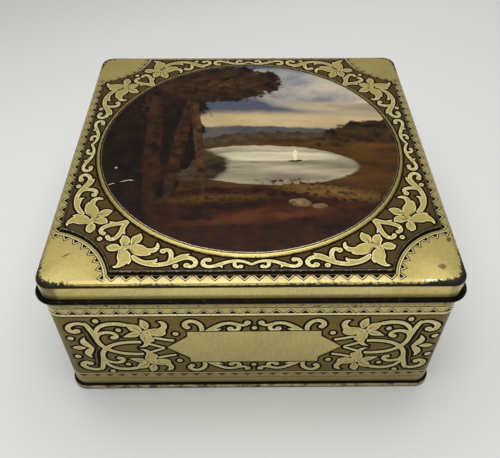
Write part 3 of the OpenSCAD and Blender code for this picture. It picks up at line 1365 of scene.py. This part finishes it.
    @staticmethod
    def draw_down(piece: bpy.types.Object) -> None:
        """Draws the skirt down from the brow's lower edge to the rolled edge."""
        low = (SIZES.mouth + 0.01) * MM
        drop, steps = SIZES.mouth - SIZES.lid_low - SIZES.curl / 2, 4
        pick(piece, lambda at: at.z < low)
        bpy.ops.mesh.select_mode(type="EDGE")
        for _ in range(steps):
            bpy.ops.mesh.extrude_region_move(TRANSFORM_OT_translate={"value": (0, 0, -drop / steps * MM)})
        bpy.ops.object.mode_set(mode="OBJECT")

    def roll(self) -> bpy.types.Object:
        """Builds the open roll round the skirt's bottom edge."""
        middle = (SIZES.lid_half - SIZES.sheet + SIZES.curl / 2, SIZES.lid_low + SIZES.curl / 2)
        radius = (SIZES.curl - SIZES.sheet) / 2
        profile = SheetProfile().bend(middle, radius, 180, 480, 22)
        piece = profile.carry_round("lid_rolled_edge")
        thicken(piece, SIZES.sheet, offset=0)
        return dress(piece, "lid", ["lid"], [Gold.edge])

    def build(self) -> None:
        """Builds every piece of the lid's top."""
        self.panel()
        self.border()
        self.roll()


@dataclass
class Medallion:
    """The round medallion: a gold rim pressed up round a domed picture."""

    rim_rise: float = 1.25

    def landscape(self) -> VarnishedLandscape:
        """A lake under a cloudy evening sky, between a dark wood and a low bank."""
        return VarnishedLandscape("varnished_landscape", (
            # Sky: banked clouds over a glow along the horizon.
            Patch((0.5, 0.62), (0.62, 0.26), "6a6b70", "bdb29b", 0.6, 3.4, 0.25, 14, 1.6),
            Patch((0.2, 0.84), (0.36, 0.1), "676c78", "a9a496", 0.6, 4.0, 0.3, 5, 2.0),
            Patch((0.8, 0.4), (0.5, 0.07), "857a68", "c4b491", 0.4, 4.0, 0.4, 4, 3.0),
            Patch((0.1, 0.24), (1.3, 0.1), "93805f", "c3b085", 0.4, 3.0, 0.5, 0, 3.0),
            # Far hills, then the dark woods of the right shore and its amber meadow.
            Patch((-0.1, -1.0), (2.4, 1.18), "3b3c41", "55504a", 0.03, 4.0, 0.01),
            Patch((0.25, -0.93), (1.6, 1.04), "2a241c", "4d4029", 0.04, 14.0, 0.01),
            Patch((0.92, -0.72), (0.72, 0.98), "120c07", "3d2a13", 0.09, 13.0, 0.015),
            Patch((0.5, -1.62), (2.8, 1.64), "24150a", "503512", 0.03, 7.0, 0.01, 0, 4.0),
            Patch((0.62, 0.0), (0.1, 0.06), "150e08", "4c3718", 0.3, 16.0, 0.08),
            Patch((0.47, -0.02), (0.05, 0.035), "1b120a", "5a421d", 0.3, 20.0, 0.08),
            # The lake, its glint, the wood's reflection and a small sailing boat.
            Patch((0.1, -0.24), (0.6, 0.2), "5f594a", "aea488", 0.12, 7.0, 0.03, 2, 7.0),
            Patch((0.16, -0.16), (0.4, 0.05), "a39a80", "d3c9a8", 0.5, 9.0, 0.2, 0, 9.0),
            Patch((-0.36, -0.24), (0.2, 0.17), "1c140d", "4d402c", 0.4, 8.0, 0.15, 0, 3.0),
            Patch((0.3, -0.205), (0.045, 0.009), "150f0a", "2b1f14", 0.1, 9.0, 0.1),
            Patch((0.3, -0.15), (0.014, 0.05), "b9ae90", "ddd3b4", 0.1, 9.0, 0.15, 4),
            # The near bank, with a path, stones and lit grass.
            Patch((0.0, -1.8), (2.5, 1.34), "160a05", "35190b", 0.03, 12.0, 0.008, 0, 1.6),
            Patch((0.12, -0.7), (0.6, 0.07), "2c160b", "5d3318", 1.2, 8.0, 0.3, -8, 3.0, 0.8),
            Patch((-0.2, -0.56), (0.5, 0.05), "241509", "5a4018", 1.6, 20.0, 0.3, -3, 1.0, 0.7),
            Patch((0.5, -0.5), (0.42, 0.07), "2a1a0c", "7d5f2c", 1.6, 24.0, 0.3, 10, 1.0, 0.8),
            Patch((0.3, -0.6), (0.07, 0.035), "3b2f22", "8b7350", 0.2, 12.0, 0.06, 8),
            Patch((0.42, -0.63), (0.045, 0.022), "32271c", "7a6445", 0.2, 12.0, 0.06),
            # The dark wood on the left, its trunks and its lit leaves.
            Patch((-0.98, 0.3), (0.66, 1.1), "090504", "22140c", 0.32, 7.0, 0.03),
            Patch((-0.36, 0.1), (0.032, 0.6), "170d07", "543821", 0.15, 12.0, 0.15, -6),
            Patch((-0.48, -0.02), (0.045, 0.6), "130a06", "43291a", 0.15, 12.0, 0.15, 5),
            Patch((-0.66, 0.0), (0.06, 0.7), "100805", "3a2214", 0.2, 12.0, 0.15, -3),
            Patch((-0.26, 0.74), (0.52, 0.25), "100906", "3a2615", 0.5, 9.0, 0.05),
            Patch((-0.2, 0.72), (0.5, 0.2), "2a1a0d", "6e4a22", 3.0, 17.0, 0.12, 0, 1.0, 0.1),
            Patch((-0.7, 0.42), (0.3, 0.3), "24140b", "5a321c", 3.0, 14.0, 0.2, 0, 1.0, 0.0),
            Patch((-0.62, -0.3), (0.35, 0.16), "1c0f08", "4a2a18", 3.0, 9.0, 0.3, 4, 3.0, 0.0),
            # Scratches through the varnish.
            Patch((-0.785, -0.39), (0.045, 0.0026), "a5a195", "cecbc0", 0.1, 9.0, 0.2, -8),
            Patch((-0.88, -0.418), (0.018, 0.0026), "a5a195", "cecbc0", 0.1, 9.0, 0.2, -16),
            Patch((-0.875, -0.26), (0.009, 0.007), "8f8c81", "b5b2a8", 0.4, 30.0, 0.3),
        ))

    def build(self) -> None:
        """Builds the rim and the picture."""
        foot = SIZES.lid_top + SIZES.panel_rise
        top = foot + self.rim_rise
        out, inner = SIZES.medallion, SIZES.picture
        rim = SheetProfile().to(out, foot).to(out - 0.25, foot + 0.2).to(out - 0.55, top - 0.45)
        rim.bend((out - 1.35, top - 0.6), 0.6, 20, 90, 4).to(inner + 1.1, top).to(inner + 0.75, top - 0.06)
        rim.to(inner + 0.45, top - 0.3).to(inner + 0.15, top - 0.3).to(inner, top - 0.2)
        piece = rim.turn_round("medallion_rim")
        self.face_up(piece)
        plate(piece, [MedallionRim("medallion_rim_varnish"), Gold.inside])
        dress(piece, "lid", ["lid"])
        edge = top - 0.2
        picture = SheetProfile()
        for i in range(13):
            reach = inner * (1 - i / 12)
            picture.to(reach, SIZES.dome_top - (SIZES.dome_top - edge) * (reach / inner) ** 2)
        piece = picture.turn_round("medallion_picture")
        self.face_up(piece)
        plate(piece, [self.landscape(), Gold.inside])
        dress(piece, "lid", ["lid"])

    @staticmethod
    def face_up(piece: bpy.types.Object) -> None:
        """Turns a nearly flat sheet's faces upwards."""
        if sum(f.normal.z * f.area for f in piece.data.polygons) < 0:
            take_all(piece)
            bpy.ops.mesh.flip_normals()
            bpy.ops.object.mode_set(mode="OBJECT")


@dataclass(frozen=True)
class MedallionRim(Finish):
    """The medallion's rim: gold varnish with a dark inner line and a rubbed outer foot."""

    gold: str = "bfb06c"
    dark: str = "1c160f"
    edge: str = "a7a084"

    def paint(self, mix: Recipe) -> None:
        """Rings of gold and dark by distance from the middle, ragged with wear."""
        reach = mix.measure("LENGTH", mix.vector("MULTIPLY", mix.place, (1.0, 1.0, 0.0)))
        # Rubbing frays each ring's edge by a few tenths of a millimetre.
        fray = mix.noise(1.6, 5.0)
        ragged = mix.math("MULTIPLY_ADD", fray, 0.9 * MM, reach)
        across = mix.span(ragged, SIZES.picture * MM, (SIZES.medallion + 0.9) * MM)
        rings = mix.add("ValToRGB", {0: across})
        stops = rings.color_ramp.elements
        stops[0].position, stops[0].color = 0.12, linear(self.dark)
        stops[1].position, stops[1].color = 0.84, linear(self.dark)
        for position, code in (
            (0.15, self.edge), (0.18, self.edge), (0.21, self.dark), (0.38, self.dark),
            (0.41, self.gold), (0.45, self.gold), (0.47, self.dark), (0.5, self.gold), (0.78, self.gold),
        ):
            stops.new(position).color = linear(code)
        mix.set({"Base Color": rings, "Roughness": mix.span(fray, 0.0, 1.0, 0.2, 0.4), "Metallic": 0.85})


# ---------------------------------------------------------------- the side wall


@dataclass
class SideWall:
    """The wrapped wall: one printed strip over four sides, hemmed at the mouth.

    One half of a side is drawn, from its middle to a corner's diagonal, with
    distance along the wall across and height up.
    """

    shift: float = 1.45
    middle: float = 41.2
    sag: float = 0.9
    sag_fade: float = 14.0
    scroll_reach: float = 24.0
    push: float = 1.5
    squeezed: tuple[float, float] = (56.0, 92.0)
    teeth: int = 14
    tooth_deep: float = 3.7
    tooth_half: float = 3.5
    foot: float = 2.7
    upper_line: float = 68.2
    lower_line: float = 16.2
    seam_at: float = 80.5
    seam_wide: float = 5.0
    plate_tall: float = 14.3
    plate_shoulder: float = 34.3
    plate_tip: float = 45.7

    @property
    def arc(self) -> float:
        """Half the length of a rounded corner along the wall."""
        return (SIZES.wall_half - SIZES.core) * math.pi / 4

    @property
    def half(self) -> float:
        """Half the length of a side, corners included."""
        return SIZES.core + self.arc

    def swell(self, z: float) -> float:
        """How far the bead stands out of the wall at a height."""
        away = abs(z - SIZES.bead)
        if away >= SIZES.bead_half:
            return 0.0
        out, half = SIZES.bead_out, SIZES.bead_half
        radius = (half ** 2 + out ** 2) / (2 * out)
        return math.sqrt(radius ** 2 - away ** 2) - (radius - out)

    def wrap(self, along: float, z: float, up: float) -> Vector:
        """Wraps a flat point round the tin.

        Args:
            along: the distance along the wall from the middle of the front, towards +X.
            z: the height.
            up: how far the point stands out of the sheet.
        Returns:
            The point in space.
        """
        core, out = SIZES.core, self.swell(z) + up
        side = round(along / (2 * self.half))
        rest = along - side * 2 * self.half
        bend = max(0.0, abs(rest) - core) / (SIZES.wall_half - core)
        radius = SIZES.wall_half - core + out
        x = min(abs(rest), core) + radius * math.sin(bend)
        flat = Vector((math.copysign(x, rest), -core - radius * math.cos(bend), z))
        return Matrix.Rotation(side * math.pi / 2, 3, "Z") @ flat

    def scrolls(self, plan: PrintPlan) -> None:
        """Draws the upper half of the scrolls on half a side; heights are from the middle line."""
        # The tall stem, its outer spiral and its crossing arm.
        plan.stroke((84.6, 22.6, 0.1), (84.1, 20.4, 1.1), (83.2, 17.4, 1.25), (82.1, 13, 1.2),
                    (81.3, 8.6, 1.15), (80.6, 5, 1.2), (79.2, 2, 1.2), (77.2, -0.6, 1.2),
                    (74.4, -2.8, 1.1), (70.4, -4.6, 1.1), (66, -5.5, 1.1), (61.5, -5.8, 1.05),
                    (58.8, -5.6, 1.0), blunt=True)
        plan.stroke((84.6, 20.8, 1.0), (87.2, 21.8, 1.0), (90, 21.5, 1.1), (92.7, 19.9, 1.2),
                    (93.9, 17.3, 1.25), (92.9, 15, 1.25), (91, 14.2, 1.15), (89.8, 15.4, 1.1), ball=1.75)
        echo = smooth([(87, 18.3, 0.5), (85.7, 14, 0.8), (85, 8, 0.8), (84, 4, 0.8), (82.9, 0, 0.8)], 1.1)
        plan.ribbon(echo, 0.35, Ink.LINE, Level.FIELD)
        plan.ribbon(echo, -0.35, Ink.SHADE, Level.BAND)
        # The branch above, and the inner spiral.
        plan.stroke((80.9, 12.8, 0.6), (80.1, 16, 0.95), (77.8, 19.1, 1.1), (74.3, 21, 1.2),
                    (70, 21.5, 1.25), (67, 21.1, 1.3), (64.4, 20.4, 1.3), blunt=True)
        plan.stroke((80.9, 8.4, 0.6), (79.9, 12.2, 1.0), (77.5, 13.9, 1.05), (74.5, 14.4, 1.05),
                    (71.9, 13.5, 1.1), (70.5, 11.4, 1.1), (71.3, 9.6, 1.0), (72.6, 9.7, 0.9), ball=1.4)
        for dot in (
            (78.9, 23.8, 1.45), (68.8, 16.3, 1.35), (94.4, 8.6, 1.5), (40.2, 12.8, 1.45), (0, 17.5, 1.3)
        ):
            plan.disc(*dot)
        # The three-leaved motif beside the corner.
        plan.stroke((89, 0, 0.6), (91.3, 0.1, 1.6), (93.3, 0.1, 1.3), (95.1, 0.1, 0))
        plan.stroke((84.6, 0, 0.6), (86.6, 2.4, 1.6), (88.2, 4.9, 1.9), (88.4, 6.8, 1.3), (87.2, 9.9, 0))
        # The flower: two curling petals with their lobes, three small petals.
        plan.stroke((55.3, 14.7, 0.9), (53.3, 14.6, 2.3), (51, 14.2, 3.1), (48.6, 14.8, 3.0),
                    (46.9, 16.5, 1.8), (45.7, 18.3, 1.4), (45.3, 20.2, 1.35), (45.9, 21.9, 1.15),
                    (46.9, 22.8, 0.75), (48.2, 23.1, 0))
        plan.stroke((50, 13.2, 2.4), (47.7, 13.4, 2.3), (46.2, 13.8, 1.6), (45, 14.8, 0))
        plan.stroke((55.7, 14.8, 0.9), (56.1, 12.7, 2.2), (55.6, 10.4, 3.0), (55.3, 8, 2.9),
                    (55.6, 6.1, 1.9), (55.9, 4.4, 1.3), (56.8, 2.8, 1.1), (58.3, 1.6, 0.6), (60.4, 1.1, 0))
        plan.stroke((53.5, 8.5, 1.8), (52.9, 6.8, 1.1), (53.7, 5.6, 0))
        for leaf in (
            ((58.1, 15.6, 1.4), (59.6, 17.1, 2.7), (61.4, 18.5, 2.7), (63.1, 19.9, 1.4)),
            ((59.6, 13.3, 1.4), (61.1, 12.5, 2.1), (63.3, 11.8, 1.75), (65.5, 10.9, 0.8), (67.4, 10.2, 0)),
            ((54.8, 17.5, 1.0), (55.1, 18.9, 2.0), (55.3, 20.8, 2.3), (55.7, 22.8, 1.6), (56.7, 24.9, 0)),
        ):
            plan.leaf(leaf, 0.4, 0.22)
        plan.fill(
            [(55.4, 14.3), (54.8, 14.7), (54.3, 14.2), (53.4, 12.6), (54.4, 13.4)], Ink.LINE, Level.VEIN
        )
        plan.vein((57.7, 12.2, 0.1), (57.6, 14, 0.18), (56.3, 15.7, 0.2), (54, 16.9, 0.2), (51.5, 17.2, 0))
        plan.vein((56.2, 10.5, 0.15), (56.8, 8, 0.15), (56, 5, 0))
        plan.vein((52.4, 15.9, 0.15), (50, 16.1, 0.15), (47.6, 18, 0))
        # The stems that run from the flower to the nameplate's point.
        plan.stroke((50.9, 9.4, 0.8), (46.4, 7.9, 0.85), (41.6, 6.8, 0.85), blunt=True)
        plan.stroke((54.1, 3.6, 0.8), (50.7, 1.9, 0.75), (47.6, 0.5, 0.6), ball=0.6)
        # The two scrolls over the nameplate.
        plan.stroke((26.9, 14.6, 1.05), (26.6, 17.5, 1.1), (27.5, 20.6, 1.15), (29.8, 22.8, 1.15),
                    (32.5, 23.2, 1.15), (34.7, 21.5, 1.2), (35.1, 19.2, 1.15), (33.9, 18.3, 1.0), ball=1.5)
        plan.stroke((25.4, 14.7, 0.2), (22, 16.6, 1.2), (18.5, 19.3, 1.1), (15, 21.2, 1.0),
                    (11.5, 21.4, 1.0), (8.6, 19.9, 1.05), (7.8, 17.5, 1.05), (9, 15.8, 1.0),
                    (11.2, 15.6, 1.0), (12.2, 16.9, 0.9), ball=1.6)
        plan.stroke((25.2, 14.7, 0.2), (21.4, 15.5, 0.9), (18.6, 16.2, 0.7), (16.6, 16.8, 0))
        plan.stroke((9, 20.9, 0.7), (6.4, 19.8, 0.8), (4.4, 20.2, 0.9), (3.5, 21.7, 1.0), ball=1.6)

    def nameplate(self, plan: PrintPlan) -> None:
        """Draws the bare gold nameplate: a long hexagon with notched shoulders."""
        for grow, ink, level in ((0.9, Ink.LINE, Level.TOOTH_OUTLINE), (0.0, Ink.PLAIN, Level.TOOTH_LINE)):
            tall, shoulder = self.plate_tall + grow, self.plate_shoulder + grow
            # The point's slanting sides need more, to keep the line as wide.
            tip = self.plate_tip + grow * 1.4
            right = [(shoulder, -tall), (shoulder, 4 - tall), (shoulder + 0.8, 5 - tall), (tip, 0.0),
                     (shoulder + 0.8, tall - 5), (shoulder, tall - 4), (shoulder, tall)]
            outline = [*right, *[(-x, z) for x, z in right[::-1]]]
            plan.fill([(x, z + self.middle - self.sag * 0.5) for x, z in outline], ink, level)

    def bands(self, plan: PrintPlan) -> None:
        """Draws the plain bands, lines and teeth above and below the scrolls."""
        reach = self.half + 1
        top, low = self.upper_line, self.lower_line
        for z0, z1, ink in (
            (top, SIZES.mouth + 1, Ink.PLAIN), (top, top + 0.8, Ink.LINE),
            (top + 0.8, top + 2.3, Ink.CREAM), (top + 2.3, top + 3.0, Ink.LINE),
            (top + 6.9, top + 7.4, Ink.LINE), (self.foot - 1, low, Ink.PLAIN), (low - 0.7, low, Ink.LINE),
            (low - 1.7, low - 0.7, Ink.CREAM), (low - 2.0, low - 1.7, Ink.LINE),
            (low - 6.6, low - 6.3, Ink.LINE),
        ):
            level = Level.BAND if ink is Ink.PLAIN else Level.TOOTH_OUTLINE
            plan.box((-reach, z0), (reach, z1), ink, level)
        pitch = self.half / self.teeth
        for i in range(self.teeth):
            x = (i + 0.5) * pitch
            plan.tooth((x, top + 2.5), Vector((0, self.tooth_deep)), self.tooth_half)
            plan.fill(
                [(x - 2.6, low - 1.9), (x + 2.6, low - 1.9), (x, low - 4.6)], Ink.VEIN, Level.TOOTH_OUTLINE
            )

    def squeeze(self, x: float) -> float:
        """How far the print is pushed in, so that its end spirals keep clear of the corner."""
        first, most = self.squeezed
        past = (x - first) / (most - first) if x < most else (self.half - x) / (self.half - most)
        return self.push * max(0.0, past)

    def settle(self, x: float, z: float) -> Point:
        """Places a point of the scrolls; between the corners their middle line hangs a little lower."""
        low = self.sag * (1 - (z / self.scroll_reach) ** 2) * min(1.0, (SIZES.core - x) / self.sag_fade)
        return (x, z + self.middle - low)

    def plan(self) -> PrintPlan:
        """The whole print of half a side."""
        plan = PrintPlan(line=1.4)
        self.scrolls(plan)
        for shape in list(plan.shapes):
            plan.fill([(x, -z) for x, z in shape.outline], shape.ink, shape.level)
        plan.points += [(x, -z) for x, z in plan.points]
        for shape in plan.shapes:
            shape.outline = [self.settle(x, z) for x, z in shape.outline]
        plan.points = [self.settle(x, z) for x, z in plan.points]
        plan.reflect(lambda p: (-p[0], p[1]), lambda p: p[0] < 0.01)
        self.nameplate(plan)
        self.bands(plan)
        for away in (-0.7, -0.6, -0.45, -0.25, 0, 0.25, 0.45, 0.6, 0.7):
            plan.guides.append([(0, SIZES.bead + away), (self.half, SIZES.bead + away)])
        for i in range(9):
            x = SIZES.core + self.arc * i / 8
            plan.guides.append([(x, self.foot), (x, SIZES.mouth)])
        return plan

    def build(self) -> None:
        """Builds the four printed sides, the hem and the lock seam."""
        inks = Gold.inks(Zone.WALL, "6d5d2b", "c1b26f", "baac6f")
        plan = self.plan()
        domain = [(0, self.foot), (self.half, self.foot), (self.half, SIZES.mouth), (0, SIZES.mouth)]
        for number, side in enumerate(("front", "right", "back", "left")):
            start = number * 2 * self.half + self.shift

            def right(x: float, z: float, up: float, start: float = start) -> Vector:
                """Puts a point on this side's right half."""
                return self.wrap(start + x - self.squeeze(x), z, up)

            def left(x: float, z: float, up: float, start: float = start) -> Vector:
                """Puts a point on this side's left half, squeezed only towards the foot."""
                low = min(1.0, max(0.0, (self.middle - z) / self.scroll_reach))
                return self.wrap(start - x + self.squeeze(x) * low, z, up)

            sheet = PrintedSheet(f"wall_{side}", plan, domain, inks, Gold.inside)
            piece = sheet.build([(right, False), (left, True)])
            thicken(piece, SIZES.sheet)
            dress(piece, "tin", ["side_wall"])
        self.hem()
        self.lock_seam()

    def hem(self) -> None:
        """Builds the mouth's inward fold."""
        radius = SIZES.hem_radius - SIZES.sheet / 2
        out = SIZES.wall_half - SIZES.hem_radius
        profile = SheetProfile().bend((out, SIZES.mouth), radius, 0, 180, 8)
        profile.to(out - radius, SIZES.mouth - SIZES.hem)
        piece = profile.carry_round("mouth_hem")
        thicken(piece, SIZES.sheet, offset=0)
        dress(piece, "tin", ["side_wall"], [Gold.inside])

    def lock_seam(self) -> None:
        """Builds the lock seam's folded strip inside the back wall."""
        inside = SIZES.wall_half - SIZES.sheet
        low, high = SIZES.seam_top + 1, SIZES.mouth - SIZES.hem - 0.5
        wide, deep, rounded = self.seam_wide, 2 * SIZES.sheet, 0.2
        bpy.ops.object.select_all(action="DESELECT")
        bpy.ops.mesh.primitive_cube_add(
            size=1, location=(self.seam_at * MM, (inside - deep / 2) * MM, (low + high) / 2 * MM),
            scale=(wide * MM, deep * MM, (high - low) * MM),
        )
        piece = bpy.context.active_object
        piece.name = piece.data.name = "lock_seam"
        bpy.ops.object.transform_apply(location=True, scale=True)
        take_all(piece)
        bpy.ops.mesh.bevel(offset=rounded * MM, segments=3)
        bpy.ops.object.mode_set(mode="OBJECT")
        dress(piece, "tin", ["side_wall"], [Gold.inside])


# ---------------------------------------------------------------- the base


@dataclass
class BasePlate:
    """The sunk floor, and the double seam that its edge makes round the wall's foot."""

    seam_roll: float = 0.6
    cap: float = 0.475
    knee: float = 0.65
    wall_gap: float = 0.05
    hook: float = 1.4
    floor_edge: float = 95.0

    def build(self) -> None:
        """Builds the seam and the floor."""
        half = SIZES.sheet / 2
        out = SIZES.seam_out - half
        chuck = SIZES.wall_half - SIZES.sheet - self.wall_gap - half
        top = SIZES.seam_top - half
        roll, cap, knee = self.seam_roll, self.cap, self.knee
        seam = SheetProfile().to(out - 2 * cap, self.hook)
        seam.bend((out - cap, top - cap), cap, 180, 0, 8)
        seam.bend((out - roll, half + roll), roll, 0, -90, 6)
        seam.bend((chuck + roll, half + roll), roll, -90, -180, 6)
        piece = seam.carry_round("base_double_seam")
        thicken(piece, SIZES.sheet, offset=0)
        dress(piece, "tin", ["base_plate"], [Gold.seam])
        sunk = SheetProfile().to(chuck, half + roll).bend((chuck - knee, top - knee), knee, 0, 90, 6)
        sunk.to(self.floor_edge, top)
        piece = sunk.carry_round("base_floor")
        self.fill_floor(piece)
        thicken(piece, SIZES.sheet, offset=0)
        dress(piece, "tin", ["base_plate"], [Gold.inside])

    def fill_floor(self, piece: bpy.types.Object) -> None:
        """Closes the floor inside the swept edge."""
        edge = (self.floor_edge + 0.01) * MM
        pick(piece, lambda at: max(abs(at.x), abs(at.y)) < edge)
        bpy.ops.mesh.edge_face_add()
        bpy.ops.mesh.select_all(action="SELECT")
        bpy.ops.mesh.normals_make_consistent(inside=False)
        bpy.ops.object.mode_set(mode="OBJECT")


# ---------------------------------------------------------------- the studio


@dataclass
class Studio:
    """A plain pale floor, soft light from above and the camera."""

    floor_size: float = 8.0
    lamp_power: float = 9.3
    fill_power: float = 3.5
    sky: float = 0.28
    backdrop: float = 0.72
    warm: tuple[float, float, float, float] = (1.0, 0.985, 0.955, 1.0)
    camera_at: tuple[float, float, float] = (-0.0030, -0.2678, 0.3040)
    camera_turn: tuple[float, float, float] = (43.854, -0.13, -0.563)
    lens: float = 41.8

    def build(self) -> None:
        """Builds the floor, the lights and the camera."""
        scene = bpy.context.scene
        scene.view_settings.view_transform = "Standard"
        bpy.ops.object.select_all(action="DESELECT")
        bpy.ops.mesh.primitive_plane_add(size=self.floor_size, location=(0, 0, 0))
        floor = bpy.context.active_object
        floor.name = "studio_floor"
        floor.data.materials.append(MattePaint("studio_floor_paint").material())
        self.light_room(scene)
        self.lamp("overhead", (-0.04, 0.03, 0.9), (-0.04, 0.03, 0.0), 1.0, self.lamp_power)
        self.lamp("front_fill", (0.0, -1.3, 0.55), (0.0, 0.0, 0.05), 0.8, self.fill_power)
        bpy.ops.object.camera_add(
            location=self.camera_at, rotation=[math.radians(a) for a in self.camera_turn]
        )
        camera = bpy.context.active_object
        camera.data.sensor_width = 36
        camera.data.lens = self.lens
        camera.data.clip_start = 0.01
        scene.camera = camera

    def light_room(self, scene: bpy.types.Scene) -> None:
        """Lights the room dimly all round; the camera sees it as a pale backdrop."""
        world = bpy.data.worlds.new("studio_light")
        scene.world = world
        world.use_nodes = True
        mix = Recipe(world.node_tree, world.node_tree.nodes["Background"])
        seen = mix.add("LightPath").outputs["Is Camera Ray"]
        mix.set({"Color": self.warm, "Strength": mix.span(seen, 0.0, 1.0, self.sky, self.backdrop)})

    @staticmethod
    def lamp(name: str, at: Sequence[float], to: Sequence[float], size: float, power: float) -> None:
        """Hangs a square soft lamp.

        Args:
            name: its name.
            at: where it hangs.
            to: the point it faces.
            size: the length of its side, in metres.
            power: its power in watts.
        """
        light = bpy.data.lights.new(name, "AREA")
        light.size = size
        light.color = Studio.warm[:3]
        light.energy = power
        lamp = bpy.data.objects.new(name, light)
        bpy.context.collection.objects.link(lamp)
        lamp.location = at
        lamp.rotation_euler = (Vector(to) - Vector(at)).to_track_quat("-Z", "Y").to_euler()


def main() -> None:
    """Builds the tin and its studio in order."""
    logging.basicConfig(level=logging.INFO, format="%(name)s: %(message)s")
    Studio().build()
    LidTop().build()
    Medallion().build()
    SideWall().build()
    BasePlate().build()


if __name__ == "__main__":
    main()
